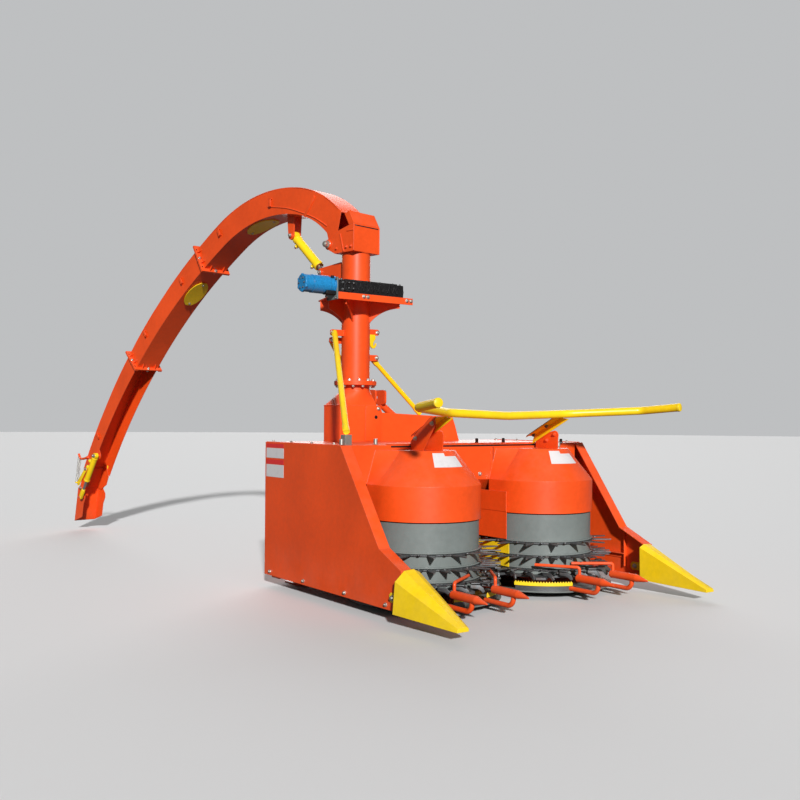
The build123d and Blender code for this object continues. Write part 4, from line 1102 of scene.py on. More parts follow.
def arc(centre: Point, radius: float, start: float, end: float, steps: int, z: float) -> list[Vector]:
    """Level arc of points, angles in degrees."""
    angles = [radians(start + (end - start) * i / steps) for i in range(steps + 1)]
    return [Vector((centre[0] + radius * cos(a), centre[1] + radius * sin(a), z)) for a in angles]


def tube_bead(z: float, steps: int = 48) -> list[Vector]:
    """Line of a weld bead round the tower's tube."""
    return arc(TOWER_AXIS, TUBE_BEAD, 0, 360, steps, z)


def ring_places(centre: Point, axis: Point, radius: float, count: int, size: float = 1.0,
                start: float = 0.0) -> list[Place]:
    """Set places on a circle.

    Args:
        centre: middle of the circle.
        axis: its axis, and the way that each place faces.
        radius: its radius.
        count: how many places.
        size: size of each place.
        start: angle of the first place, in degrees.

    Returns:
        The places.
    """
    turn = frame_of(axis)
    spots = []
    for i in range(count):
        angle = radians(start) + tau * i / count
        spot = Vector(centre) + turn @ Vector((radius * cos(angle), radius * sin(angle), 0))
        spots.append(Place(spot, axis, size))
    return spots


# ---- spout plane
@dataclass(frozen=True)
class SpoutPlane:
    """Upright plane that the discharge spout lies in, at rest: s runs along the spout, z up and n across."""

    heading: float = 10.0
    crown: Triple = (0.696, 1.065, 1.311)
    neck_radius: float = 0.790
    reach_radius: float = 4.609
    neck_start: float = 134.5
    neck_join: float = 101.7
    reach_join: float = 63.4
    mouth: float = 31.2

    @property
    def ahead(self) -> Vector:
        """Level direction of the spout."""
        turn = radians(self.heading)
        return Vector((-sin(turn), cos(turn), 0))

    @property
    def across(self) -> Vector:
        """Direction out of the plane, towards the right."""
        turn = radians(self.heading)
        return Vector((cos(turn), sin(turn), 0))

    def at(self, s: float, z: float, n: float = 0.0) -> Vector:
        """Machine position of a point of the plane."""
        flat = self.ahead * s + self.across * n
        return Vector((TOWER_AXIS[0] + flat.x, TOWER_AXIS[1] + flat.y, z))

    def way(self, s: float, z: float, n: float = 0.0) -> Vector:
        """Direction given along, up and across."""
        return self.ahead * s + self.across * n + Vector((0, 0, z))

    def line(self, points: Sequence[Pair], n: float) -> list[Vector]:
        """Machine positions of points that share one n."""
        return [self.at(s, z, n) for s, z in points]

    def pair(self, point: Pair, n: float, size: float = 1.0) -> list[Place]:
        """Places that face outwards on both sides of a point."""
        return [Place(self.at(*point, sign * n), self.way(0, 0, sign), size) for sign in (-1, 1)]

    def arc(self, name: str) -> Triple:
        """Find one of the spout's three arcs.

        Args:
            name: neck, crown or reach.

        Returns:
            The arc's centre, as s and z, and its outer radius.
        """
        s, z, radius = self.crown
        if name == "crown":
            return self.crown
        own, angle = ((self.neck_radius, self.neck_join) if name == "neck"
                      else (self.reach_radius, self.reach_join))
        turn = radians(angle)
        return s + (radius - own) * cos(turn), z + (radius - own) * sin(turn), own

    def on_arc(self, name: str, angle: float, below: float, n: float = 0.0) -> Vector:
        """Point of an arc, at an angle in degrees and below the outer plate."""
        s, z, radius = self.arc(name)
        return self.at(s, z, n) + self.out(angle) * (radius - below)

    def out(self, angle: float) -> Vector:
        """Direction away from an arc's centre."""
        return self.way(cos(radians(angle)), sin(radians(angle)))

    def along(self, angle: float) -> Vector:
        """Direction along an arc, down the spout."""
        return self.way(sin(radians(angle)), -cos(radians(angle)))

    def run(self, below: float, n: float, start: float, end: float, step: float = 1.2) -> list[Vector]:
        """Follow the spout downwards.

        Args:
            below: depth under the outer plate.
            n: distance across.
            start: angle of the first point, in degrees.
            end: angle of the last point.
            step: most that two points are apart, in degrees.

        Returns:
            The points.
        """
        spans = (("neck", self.neck_start, self.neck_join), ("crown", self.neck_join, self.reach_join),
                 ("reach", self.reach_join, self.mouth))
        points = []
        for name, first, last in spans:
            low, high = max(last, end), min(first, start)
            count = max(1, int((high - low) / step))
            if high > low:
                points += [self.on_arc(name, high - (high - low) * i / count, below, n)
                           for i in range(count + (name == "reach"))]
        return points


PLANE = SpoutPlane()


# ---- sub-assemblies
@dataclass
class Dressing:
    """Better materials for the construction nodes that stay in sight."""

    finishes: dict[str, Finish] = field(default_factory=lambda: {
        "crop_divider": YELLOW, "push_bar": YELLOW, "tower_brace": YELLOW, "stripper": YELLOW,
        "lift_barrel": YELLOW, "deflector_barrel": YELLOW, "rotor_drum": GREY, "rotor_dish": GREY,
        "toothed_discs": DARK, "knife_disc": DARK, "chopper_drum": DARK, "lift_rod": BRIGHT,
        "deflector_rod": BRIGHT, "pto_shaft": BRIGHT, "brace_foot": ZINC, "slew_motor": BLUE,
        "slew_drive": BLACK, "gearbox": BLACK})

    def finish_of(self, node: str) -> Finish:
        """The finish of a node, orange where nothing else is named."""
        return next((f for start, f in self.finishes.items() if node.startswith(start)), ORANGE)

    def dress(self) -> None:
        """Put a finish on every node."""
        for node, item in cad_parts.items():
            finish = self.finish_of(node)
            item.data.materials.clear()
            item.data.materials.append(SHOP.coat(finish))
            LOG.info("%s dressed in %s", node, finish.name)


@dataclass
class Rotor:
    """Cutting and gathering details that turn with one rotor."""

    side: Side
    blade_radius: float = 0.352
    blade_z: float = 0.133
    blade_count: int = 24
    blade_size: float = 1.25
    blade_sweep: float = 0.9
    rim_heights: Triple = (0.284, 0.215, 0.146)
    bolt_rows: tuple[Pair, ...] = ((0.278, 0.305), (0.209, 0.303), (0.140, 0.305))
    bolt_count: int = 15

    def ring(self, z: float, radius: float, count: int) -> list[tuple[Vector, Vector]]:
        """Set points round the rotor.

        Args:
            z: height of the ring.
            radius: its radius.
            count: how many points.

        Returns:
            Each point with its direction away from the axis.
        """
        outs = [Vector((cos(a), sin(a), 0)) for a in (tau * (i + 0.5) / count for i in range(count))]
        return [(Vector((self.side.x, 0, z)) + out * radius, out) for out in outs]

    def hooked_blade(self) -> Shape:
        """Draw one hooked holder.

        Returns:
            The holder, at the origin and pointing along x.
        """
        hook = [(-0.020, 0), (0.016, 0), (0.030, -0.010), (0.036, -0.024), (0.028, -0.031), (0.020, -0.020),
                (0.006, -0.013), (-0.020, -0.012)]
        shape = Shape().slab([(x, -0.0035, z) for x, z in hook], (0, 0.007, 0), 0.001)
        return shape.block((-0.002, 0.0, 0.0075), (0.034, 0.026, 0.005), bevel=0.001)

    def blades(self) -> None:
        """Ring of hooked holders hung under the lowest disc."""
        sweep = Matrix.Rotation(self.blade_sweep, 3, "Z")
        places = [Place(spot, UP, self.blade_size, sweep @ out)
                  for spot, out in self.ring(self.blade_z, self.blade_radius, self.blade_count)]
        name = f"hooked_blades_{self.side.label}"
        PATTERN.repeat(self.hooked_blade(), places, name, DARK, self.side.rotor)

    def rims(self) -> None:
        """Rolled rims round the drum and the hub plates between the discs."""
        shape = Shape()
        for z in self.rim_heights:
            profile = [(0.2765, z - 0.004), (0.2850, z - 0.004), (0.2872, z), (0.2850, z + 0.004),
                       (0.2765, z + 0.004), (0.2765, z - 0.004)]
            shape.lathe((self.side.x, 0, 0), UP, profile, 96)
        shape.piece(f"drum_rims_{self.side.label}", GREY, self.side.rotor)

    def bolts(self) -> None:
        """Bolts of the knives on the cutting disc and of the discs' segments."""
        places = [Place(spot, UP, 0.62) for z, radius in self.bolt_rows
                  for spot, _ in self.ring(z, radius, self.bolt_count)]
        name = f"disc_bolts_{self.side.label}"
        BOLTS.fit(places, name, self.side.rotor, DARK, Head=0.0025, Shank=0.001)

    def build(self) -> None:
        """Make the rotor's details."""
        self.blades()
        self.rims()
        self.bolts()


@dataclass
class Gathering:
    """Fixed pieces low at the front: serrated strips, divider lugs and the right panel's ledge."""

    strip_radius: float = 0.372
    strip_thick: float = 0.004
    strip_low: float = 0.068
    strip_high: float = 0.085
    # lowest edge of the dark sheet painted as the shade under the strips
    skirt_low: float = 0.030
    strip_spans: tuple[Pair, ...] = ((206.0, 253.0), (275.0, 285.0))
    mirror_turn: float = 540.0  # an angle and its mirror image in x add up to this
    tooth_pitch: float = 0.014
    inner_x: float = 0.837  # inner face of the right panel

    def strip_angles(self, side: Side) -> list[Pair]:
        """Spans of the strips on one side, mirrored for the left."""
        turn = self.mirror_turn
        return [(a, b) if side is Side.RIGHT else (turn - b, turn - a) for a, b in self.strip_spans]

    def tooth(self) -> Shape:
        """One tooth of a strip, at the origin."""
        x, outline = -self.strip_thick / 2, ((-0.0065, 0), (0.0065, 0), (0.0015, 0.007), (-0.0015, 0.007))
        return Shape().slab([(x, y, z) for y, z in outline], (self.strip_thick, 0, 0), 0.0005)

    def strips(self, side: Side) -> None:
        """Stand serrated strips on the dish in front of a rotor, each over a dark sheet painted as the shade
        under it.

        Args:
            side: the half of the machine.
        """
        middle, radius, high = (side.x, 0.0), self.strip_radius, self.strip_high
        strip, shade_sheet, places = Shape(), Shape(), []
        for start, end in self.strip_angles(side):
            steps = max(4, int((end - start) / 2.5))
            strip.skin(*([arc(middle, radius + past, start, end, steps, z) for z in (self.strip_low, high)]
                         for past in (0.0, self.strip_thick)))
            # dark sheet behind and below each strip: painted shade under the strip
            shade_sheet.skin(*([arc(middle, radius - gap, start + 0.6, end - 0.6, steps, z)
                          for z in (self.skirt_low, high - 0.004)] for gap in (0.006, 0.001)))
            count = int(radians(end - start) * radius / self.tooth_pitch)
            half = (end - start) / count / 2
            spots = arc(middle, radius + self.strip_thick / 2, start + half, end - half, count - 1,
                        high - 0.001)
            places += [Place(spot, UP, aside=spot - Vector((*middle, spot.z))) for spot in spots]
        strip.piece(f"cutting_strip_{side.label}", YELLOW)
        shade_sheet.piece(f"strip_skirt_{side.label}", DARK)
        PATTERN.repeat(self.tooth(), places, f"strip_teeth_{side.label}", YELLOW)

    def divider_lugs(self) -> None:
        """Yellow tongues that bolt the dividers to the side panels."""
        shape, places = Shape(), []
        for x, rear, z in ((-PANEL_X, -0.332, 0.125), (self.inner_x, -0.276, 0.118)):
            outline = ((-0.428, -0.022), (rear - 0.012, -0.022), (rear, -0.010), (rear, 0.010),
                       (rear - 0.012, 0.022), (-0.428, 0.022))
            shape.slab([(x, y, z + up) for y, up in outline], (-0.005, 0, 0), 0.001)
            places.append(Place((x - 0.0052, rear - 0.030, z), LEFT, 1.05))
        shape.piece("divider_lugs", YELLOW)
        BOLTS.fit(places, "divider_bolts")

    def ledge(self) -> None:
        """Angle and upright flange inside the right panel."""
        shape, run = Shape(), (-0.238, -0.060)
        for ys, zs, depth in ((run, (0.153, 0.181), 0.004), (run, (0.177, 0.181), 0.024),
                              ((-0.242, -0.238), (0.108, 0.297), 0.020)):
            shape.slab(upright(self.inner_x, ys, zs), (-depth, 0, 0), 0.001)
        shape.piece("panel_ledge", ORANGE)

    def build(self) -> None:
        """Make both sides."""
        for side in Side:
            self.strips(side)
        self.divider_lugs()
        self.ledge()


@dataclass
class BodyPanels:
    """Stickers, seams, bolts and pins on the sheet-metal body."""

    wall_y: float = 0.099
    deck_z: float = 0.793
    cover_y: float = 0.757  # front of the blower cover
    label_low: float = 0.690

    def rear_labels(self) -> None:
        """Blank stickers, one above the other, on the left panel's rear."""
        for name, finish, spans in (("rear_labels", WHITE_FILM, ((0.604, 0.672), (0.708, 0.762))),
                                    ("rear_label_bands", RED_FILM, ((0.675, 0.699), (0.765, 0.786)))):
            shape = Shape()
            for span in spans:
                shape.slab(upright(-PANEL_X, (0.674, 0.872), span), (-0.0008, 0, 0))
            shape.piece(name, finish)

    def hood_label(self, side: Side) -> None:
        """Lay a blank stepped sticker on the hood's cone.

        Args:
            side: the half of the machine.
        """
        surface = Surface(f"rotor_hood_{side.label}")
        first, last = (246.0, 293.0) if side is Side.LEFT else (243.0, 291.0)
        middle = first + (last - first) * 0.46
        shape = Shape()
        for start, end, top in ((first, middle, 0.757), (middle + 0.05, last, 0.742)):
            low, high = [], []
            for row in range(7):
                z = self.label_low + (top - self.label_low) * row / 6
                hits = []
                for col in range(13):
                    angle = radians(start + (end - start) * col / 12)
                    way = Vector((-cos(angle), -sin(angle), 0))
                    hits.append(surface.hit(Vector((side.x, 0, z)) - way * 0.6, way))
                low.append([at + normal * 0.0003 for at, normal in hits])
                high.append([at + normal * 0.0012 for at, normal in hits])
            shape.skin(low, high)
        shape.piece(f"hood_label_{side.label}", WHITE_FILM)

    def seams(self) -> None:
        """Weld beads on the front wall, hoods, deck and cover."""
        lines, front, edge, cover = [], self.wall_y - 0.001, self.deck_z + 0.001, (self.cover_y, 0.795)
        for side in Side:
            x = side.value * (PANEL_X - 0.006)
            lines.append([(x, 0.12, edge), (x, 0.88, edge)])
            lines += [[(side.x + sign * 0.235, front, 0.768), (side.x + sign * 0.286, front, 0.602)]
                      for sign in (-1, 1)]
            lines.append([(side.x - 0.235, front, 0.769), (side.x + 0.235, front, 0.769)])
        lines.append([(-0.436, *cover), (0.403, *cover)])
        lines.append([(-0.437, *cover), (-0.437, 0.934, 0.795)])
        WELDS.lay(lines, "body_welds", radius=0.0028, ripple=0.007)

    def lap_strips(self) -> None:
        """Joint strip of the front wall, lip of the deck, and black strips painted as the shadow under the
        deck's lip and beside the joint strip.
        """
        wall = self.wall_y
        strip = Shape().slab([(0.124, wall, 0.604), (0.139, wall, 0.604), (0.139, wall, 0.776),
                              (0.124, wall, 0.776)], (0, -0.0035, 0), 0.0008)
        strip.block((0.0, wall + 0.014, 0.7965), (1.10, 0.036, 0.005), bevel=0.0015)
        strip.piece("front_lap_strip", ORANGE)
        # black strips that paint the shadow line under the deck's lip and the dark gap beside the joint strip
        shadow_strips = Shape().block((0.0, wall - 0.0012, 0.784), (1.08, 0.003, 0.008), bevel=0.0008)
        shadow_strips.block((0.1420, wall - 0.0006, 0.690), (0.0055, 0.0030, 0.172), bevel=0.0006)
        shadow_strips.piece("deck_seal", BLACK)

    def cover_lug(self) -> None:
        """Lug plate on the blower cover's front, with a black disc painted as the shade in its hole."""
        y = self.cover_y
        outline = ((-0.266, 0.797), (-0.154, 0.797), (-0.154, 0.990), (-0.166, 1.002), (-0.254, 1.002),
                   (-0.266, 0.990))
        Shape().slab([(x, y, z) for x, z in outline], (0, -0.006, 0), 0.0012).piece("cover_lug", ORANGE)
        # black disc that paints the shade inside the lug's hole
        lug_hole_shade = Shape().rod((-0.192, y - 0.004, 0.935), (-0.192, y - 0.0066, 0.935), 0.011)
        lug_hole_shade.piece("cover_lug_hole", BLACK)

    def bolts(self) -> None:
        """Zinc bolts on the front wall, lug, rear wall, deck and lower edges."""
        places = [Place((0.049, self.wall_y, 0.630), FRONT, 0.9), Place((-0.176, 0.7505, 0.984), FRONT, 0.85)]
        for side in Side:
            places += [Place((side.value * x, 0.8851, z), REAR, 0.85) for z in (0.14, 0.36, 0.58, 0.75)
                       for x in (0.47, 0.81)]
            places += [Place((side.value * 0.815, y, 0.7932), UP, 0.8) for y in (0.20, 0.42, 0.64, 0.84)]
            places += [Place((side.value * PANEL_X, y, 0.085), (side.value, 0, 0), 0.8)
                       for y in (-0.30, 0.05, 0.45, 0.82)]
        BOLTS.fit(places, "body_bolts")

    def pins(self) -> None:
        """Short upright pins and nuts along the deck's front edge."""
        bright, dark = Shape(), Shape()
        for x, z in ((-0.231, 0.770), (0.633, 0.770), (-0.620, 0.795), (-0.822, 0.795)):
            below = z < self.deck_z
            y = self.wall_y + (-0.012 if below else 0.020)
            bright.rod((x, y, z), (x, y, z + 0.030), 0.0105)
            if below:
                bright.block((x, y + 0.008, z + 0.006), (0.022, 0.012, 0.012))
        for x, past, z in ((0.655, -0.008, 0.790), (0.040, 0.016, 0.797), (0.232, 0.016, 0.797)):
            y = self.wall_y + past
            dark.rod((x, y, z), (x, y, z + 0.026), 0.0100, tip=0.0075)
        bright.piece("hood_latch_pins", ZINC)
        dark.piece("deck_edge_nuts", DARK)

    def build(self) -> None:
        """Make everything on the body."""
        self.rear_labels()
        for side in Side:
            self.hood_label(side)
        self.seams()
        self.lap_strips()
        self.cover_lug()
        self.bolts()
        self.pins()


@dataclass
class PushBar:
    """Brackets, sliding channels and end discs of the bar across the front."""

    radius: float = 0.0212
    foot: Pair = (0.094, 0.788)
    run: Pair = (-0.8975, 0.441)
    length: float = 0.322
    depth: float = 0.0345
    half: float = 0.033
    sheet: float = 0.004

    def at(self, x: float, along: float, up: float) -> Vector:
        """Point of a bracket, along its slope from its foot, and up from the flanges' edge to the web."""
        (y, z), (forth, rise) = self.foot, self.run
        return Vector((x, y + forth * along + rise * up, z + rise * along - forth * up))

    def channel(self, shape: Shape, x: float, start: float, end: float, half: float, shift: float) -> None:
        """Add a channel that opens downwards, with a deep right flange and a narrow left lip.

        Args:
            shape: the shape that it joins.
            x: its middle across the machine.
            start: where it starts on the slope.
            end: where its flanges end.
            half: half of its width.
            shift: how far its web stands above the usual one.
        """
        web, first, last = self.depth + shift, start + 0.040, end - 0.052
        deep = [(start, 0.0), (end, 0.0), (last, web), (first, web)]
        lip = [(start + 0.031, web - 0.008), (end - 0.040, web - 0.008), (last, web), (first, web)]
        for sign, flange in ((-1, lip), (1, deep)):
            edge = x + sign * half
            shape.slab([self.at(edge, a, b) for a, b in flange], (-sign * self.sheet, 0, 0), 0.001)
        corners = ((x - half, first), (x + half, first), (x + half, last), (x - half, last))
        down = self.at(0, 0, -self.sheet) - self.at(0, 0, 0)
        shape.slab([self.at(edge, along, web) for edge, along in corners], down, 0.001)

    def brackets(self, side: Side) -> None:
        """Weld a bracket's orange side plates to the hood's top.

        Args:
            side: the half of the machine.
        """
        shape = Shape()
        short = ((0.069, 0.767), (-0.101, 0.767), (-0.108, 0.845), (-0.100, 0.860), (-0.082, 0.867),
                 (-0.060, 0.862), (0.012, 0.841), (0.069, 0.800))
        tall = ((0.069, 0.767), (-0.040, 0.767), (-0.128, 0.885), (-0.138, 0.912), (-0.130, 0.934),
                (-0.106, 0.940), (-0.084, 0.930), (0.030, 0.846), (0.069, 0.812))
        plates = ((-1, tall), (1, short)) if side is Side.LEFT else ((1, short),)
        for sign, outline in plates:
            edge = side.x + sign * (self.half + 0.0015)
            shape.slab([(edge, y, z) for y, z in outline], (sign * self.sheet, 0, 0), 0.0012)
        if side is Side.LEFT:
            self.channel(shape, side.x, 0.004, 0.235, self.half + 0.0005, 0.006)
        made = shape.piece(f"bracket_plates_{side.label}", ORANGE)
        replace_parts(made, f"bar_bracket_{side.label}")

    def channels(self) -> None:
        """Yellow channels that slide in the brackets and carry the bar."""
        for side, start in ((Side.LEFT, 0.150), (Side.RIGHT, 0.0)):
            shape = Shape()
            self.channel(shape, side.x, start, self.length, self.half - 0.001, 0.0)
            made = shape.piece(f"bar_channel_{side.label}", YELLOW)
            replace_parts(made, f"bar_bracket_{side.label}")

    def bolts(self) -> None:
        """Bolts under the channels' webs and on the brackets' sides."""
        down = self.at(0, 0, -1) - self.at(0, 0, 0)
        webs = [Place(self.at(side.x, run, self.depth - self.sheet), down, 0.9)
                for side, runs in ((Side.LEFT, (0.085, 0.150)), (Side.RIGHT, (0.062, 0.175))) for run in runs]
        BOLTS.fit(webs, "channel_bolts", finish=DARK)
        low = ((0.020, 0.815), (-0.080, 0.840))
        outer = [Place((-0.4387, *spot), LEFT, 0.95) for spot in ((0.026, 0.826), (-0.112, 0.903))]
        outer += [Place((0.4387, *spot), RIGHT, 0.95) for spot in low]
        BOLTS.fit(outer, "bracket_bolts")
        inner = [Place((-0.3613, *spot), RIGHT, 0.95) for spot in low]
        inner += [Place((0.4343, *spot), LEFT, 0.9) for spot in ((-0.020, 0.812), (-0.080, 0.845))]
        BOLTS.fit(inner, "bracket_inner_bolts", finish=ORANGE)

    def ends(self) -> None:
        """Welded end discs of the bar."""
        shape, beads, radius = Shape(), [], self.radius
        profile = [(radius + 0.0006, 0), (radius + 0.0012, 0.004), (radius + 0.0006, 0.008),
                   (radius - 0.003, 0.0101)]
        ring = [Vector((radius * cos(a), radius * sin(a), 0)) for a in (tau * i / 24 for i in range(25))]
        for side in Side:
            end = Vector((side.value * 0.804, -0.634, 0.995))
            way = (end - Vector((side.value * 0.752, -0.416, 0.977))).normalized()
            shape.lathe(end - way * 0.010, way, profile)
            turn = frame_of(way)
            beads.append([end - way * 0.011 + turn @ spot for spot in ring])
        shape.piece("bar_end_discs", YELLOW)
        WELDS.lay(beads, "bar_welds", YELLOW, radius=0.0014, ripple=0.004)

    def build(self) -> None:
        """Make the bar's details."""
        for side in Side:
            self.brackets(side)
        self.channels()
        self.bolts()
        self.ends()


@dataclass
class Tower:
    """Bolts, hooks, welds, worm housing and motor details on the fixed tower."""

    joint_z: float = 1.133
    tray_z: float = 1.630
    worm_y: float = 0.680
    motor_x: float = -0.533
    motor_z: float = 1.668

    def flange_bolts(self) -> None:
        """Bolts of the lower flange, of the tray's lip and plate, and of the braces' lugs."""
        x, y = TOWER_AXIS
        places = [place for way in (UP, DOWN)
                  for place in ring_places((x, y, self.joint_z + 0.012 * way[2]), way, 0.108, 12, 0.95, 9.0)]
        places += [Place((lip_x, y - 0.2181, self.tray_z - 0.016), FRONT, 0.85)
                   for lip_x in (-0.365, -0.338, -0.066, -0.038)]
        places += [Place((x + past_x, y + past_y, self.tray_z - 0.008), DOWN, 0.8)
                   for past_x, past_y in ((-0.19, -0.18), (-0.07, -0.18), (0.06, -0.18), (0.18, -0.18),
                                          (-0.12, 0.16), (0.12, 0.16))]
        places += [Place((x + past, y + depth - 0.0055, self.tray_z - drop), FRONT, 0.95)
                   for past, depth, drop in ((-0.163, 0.0, 0.206), (-0.134, 0.055, 0.246),
                                             (0.151, 0.0, 0.190), (0.146, 0.0, 0.343))]
        BOLTS.fit(places, "tower_bolts")

    def welds(self) -> None:
        """Beads round the tower's foot, under the tray and along its gussets."""
        lines = [tube_bead(z) for z in (self.joint_z + 0.0125, self.joint_z - 0.0125, self.tray_z - 0.0095)]
        for turn in (radians(angle) for angle in (0, 45, 135, 180, 225, 315)):
            out, aside = Vector((cos(turn), sin(turn), 0)), Vector((-sin(turn), cos(turn), 0))
            for side in (-1, 1):
                foot = Vector((*TOWER_AXIS, 0)) + out * 0.0845 + aside * side * 0.0045
                lines.append([foot + Vector((0, 0, z)) for z in (1.492, 1.618)])
        lines.append([(-0.436, 0.760, 1.002), (-0.180, 0.760, 1.002)])
        lines.append([(-0.437, 0.760, 1.002), (-0.437, 0.932, 1.002)])
        WELDS.lay(lines, "tower_welds", radius=0.0032, ripple=0.007)

    def hook(self) -> None:
        """Yellow safety hook that hangs from the right lug."""
        x, y, z = TOWER_AXIS[0] + 0.114, TOWER_AXIS[1] - 0.010, self.tray_z - 0.208
        outline = ((-0.020, 0.004), (0.020, 0.004), (0.021, -0.022), (0.006, -0.040), (0.004, -0.058),
                   (0.012, -0.064), (0.020, -0.056), (0.021, -0.046), (0.027, -0.046), (0.027, -0.062),
                   (0.015, -0.078), (-0.002, -0.078), (-0.014, -0.066), (-0.018, -0.040))
        shape = Shape().slab([(x + a, y, z + b) for a, b in outline], (0, 0.010, 0), 0.0012)
        shape.piece("brace_hook", YELLOW)

    def worm_housing(self) -> None:
        """Boss, end cover and lids of the slewing drive."""
        z = self.tray_z + 0.035
        shape = Shape()
        shape.lathe((-0.466, self.worm_y - 0.042, z - 0.002), FRONT,
                    [(0.034, 0), (0.034, 0.012), (0.030, 0.016), (0.021, 0.016), (0.019, 0.012),
                     (0, 0.012)], 32)
        shape.lathe((-0.082, self.worm_y, z), RIGHT,
                    [(0.031, -0.002), (0.031, 0.008), (0.026, 0.013), (0.012, 0.016), (0, 0.016)], 32)
        shape.block((-0.300, self.worm_y - 0.002, self.tray_z + 0.073), (0.36, 0.070, 0.010), bevel=0.004)
        shape.lathe((*TOWER_AXIS, self.tray_z), UP,
                    [(0.1785, 0.006), (0.1815, 0.009), (0.1815, 0.020), (0.1785, 0.023)], 72)
        shape.piece("worm_housing_lids", BLACK)

    def worm_ribs(self) -> None:
        """Leaning ribs on the worm housing's front, and the knurl of the ring that turns."""
        rib = Shape().slab([(-0.0035, 0, -0.024), (0.0035, 0, -0.024), (0.0035, 0, 0.024),
                            (-0.0035, 0, 0.024)], (0, -0.0045, 0), 0.0012)
        y, z, lean = self.worm_y - 0.0455, self.tray_z + 0.037, 0.42
        places = [Place((-0.405 + 0.0165 * i, y, z), (lean if i % 2 else -lean, 0, 1), 1.0, RIGHT)
                  for i in range(18)]
        PATTERN.repeat(rib, places, "worm_housing_ribs", BLACK)
        knurl = Shape().block((0, 0, 0), (0.0045, 0.005, 0.016), bevel=0.001)
        ring = ring_places((*TOWER_AXIS, self.tray_z + 0.046), UP, 0.1612, 84)
        places = [Place(spot.at, UP, 1.0, spot.at - Vector((*TOWER_AXIS, spot.at.z))) for spot in ring]
        PATTERN.repeat(knurl, places, "slew_ring_knurl", BLACK)

    def worm_bolts(self) -> None:
        """Cover bolts and grease points of the slewing drive."""
        y, z = self.worm_y, self.tray_z + 0.07
        places = [Place((x, y - 0.030, z + 0.002), UP, 0.6)
                  for x in (-0.50, -0.42, -0.33, -0.24, -0.15, -0.10)]
        places += ring_places((*TOWER_AXIS, z), UP, 0.150, 14, 0.75, 8.0)
        places += ring_places((-0.452, y - 0.060, z - 0.031), FRONT, 0.022, 4, 0.35, 45.0)
        places += [Place((-0.500, y - 0.046, z - drop), FRONT, 0.6) for drop in (0.016, 0.054)]
        BOLTS.fit(places, "slew_drive_bolts", finish=DARK)

    def motor(self) -> None:
        """Mounting plate, end cover and plug of the hydraulic motor."""
        x, y, z = self.motor_x, self.worm_y, self.motor_z
        plate = Shape().block((x - 0.004, y, z - 0.018), (0.010, 0.112, 0.126), bevel=0.006)
        plate.piece("motor_plate", GREY)
        body = Shape().lathe((x - 0.202, y, z), LEFT,
                             [(0.0487, -0.014), (0.0487, -0.002), (0.0450, 0.0012), (0.0, 0.0012)], 48)
        for place in ring_places((x - 0.190, y, z), LEFT, 0.0425, 6, 1.0, 30.0):
            body.rod(place.at, place.at + Vector((-0.0145, 0, 0)), 0.0095, ease=0.002, steps=16)
        band = [(0.0480, -0.002), (0.0492, 0.0), (0.0492, 0.004), (0.0480, 0.006), (0.0480, -0.002)]
        for run in (0.050, 0.148):
            body.lathe((x - run, y, z), LEFT, band, 40)
        body.piece("motor_cover", BLUE)
        dark = Shape().block((x - 0.030, y - 0.020, z - 0.044), (0.080, 0.050, 0.022), bevel=0.005)
        plug = (x - 0.023, y - 0.025)
        dark.rod((*plug, z + 0.040), (*plug, z + 0.052), 0.0105, ease=0.001, steps=6)
        dark.piece("motor_foot_and_plug", BLACK)

    def motor_bolts(self) -> None:
        """Bolts of the motor's end cover and mounting plate."""
        x, y, z = self.motor_x, self.worm_y, self.motor_z
        BOLTS.fit(ring_places((x - 0.2031, y, z), LEFT, 0.030, 6, 0.40), "motor_bolts", finish=DARK)
        corners = [Place((x - 0.009, y + aside, z + up), LEFT, 0.6) for aside in (-0.046, 0.046)
                   for up in (-0.072, 0.032)]
        BOLTS.fit(corners, "motor_plate_bolts", finish=DARK)

    def brace_ends(self) -> None:
        """Flattened ends of the tower's braces."""
        shape = Shape()
        for low, high, radius in (((-0.775, 0.150, 0.858), (-0.434, 0.8273, 1.424), 0.016),
                                  ((0.212, 0.8633, 0.9584), (-0.150, 0.8633, 1.287), 0.014)):
            a, b = Vector(low), Vector(high)
            way = (b - a).normalized()
            over = way.cross(Vector(REAR)).normalized()
            turn = Matrix((over, way.cross(over), way)).transposed()
            for middle in (a + way * 0.028, b - way * 0.028):
                shape.block(middle, (radius * 2.3, radius * 1.2, 0.050), turn, 0.004)
        shape.piece("brace_ends", YELLOW)

    def build(self) -> None:
        """Make the tower's details."""
        self.flange_bolts()
        self.welds()
        self.hook()
        self.worm_housing()
        self.worm_ribs()
        self.worm_bolts()
        self.motor()
        self.motor_bolts()
        self.brace_ends()


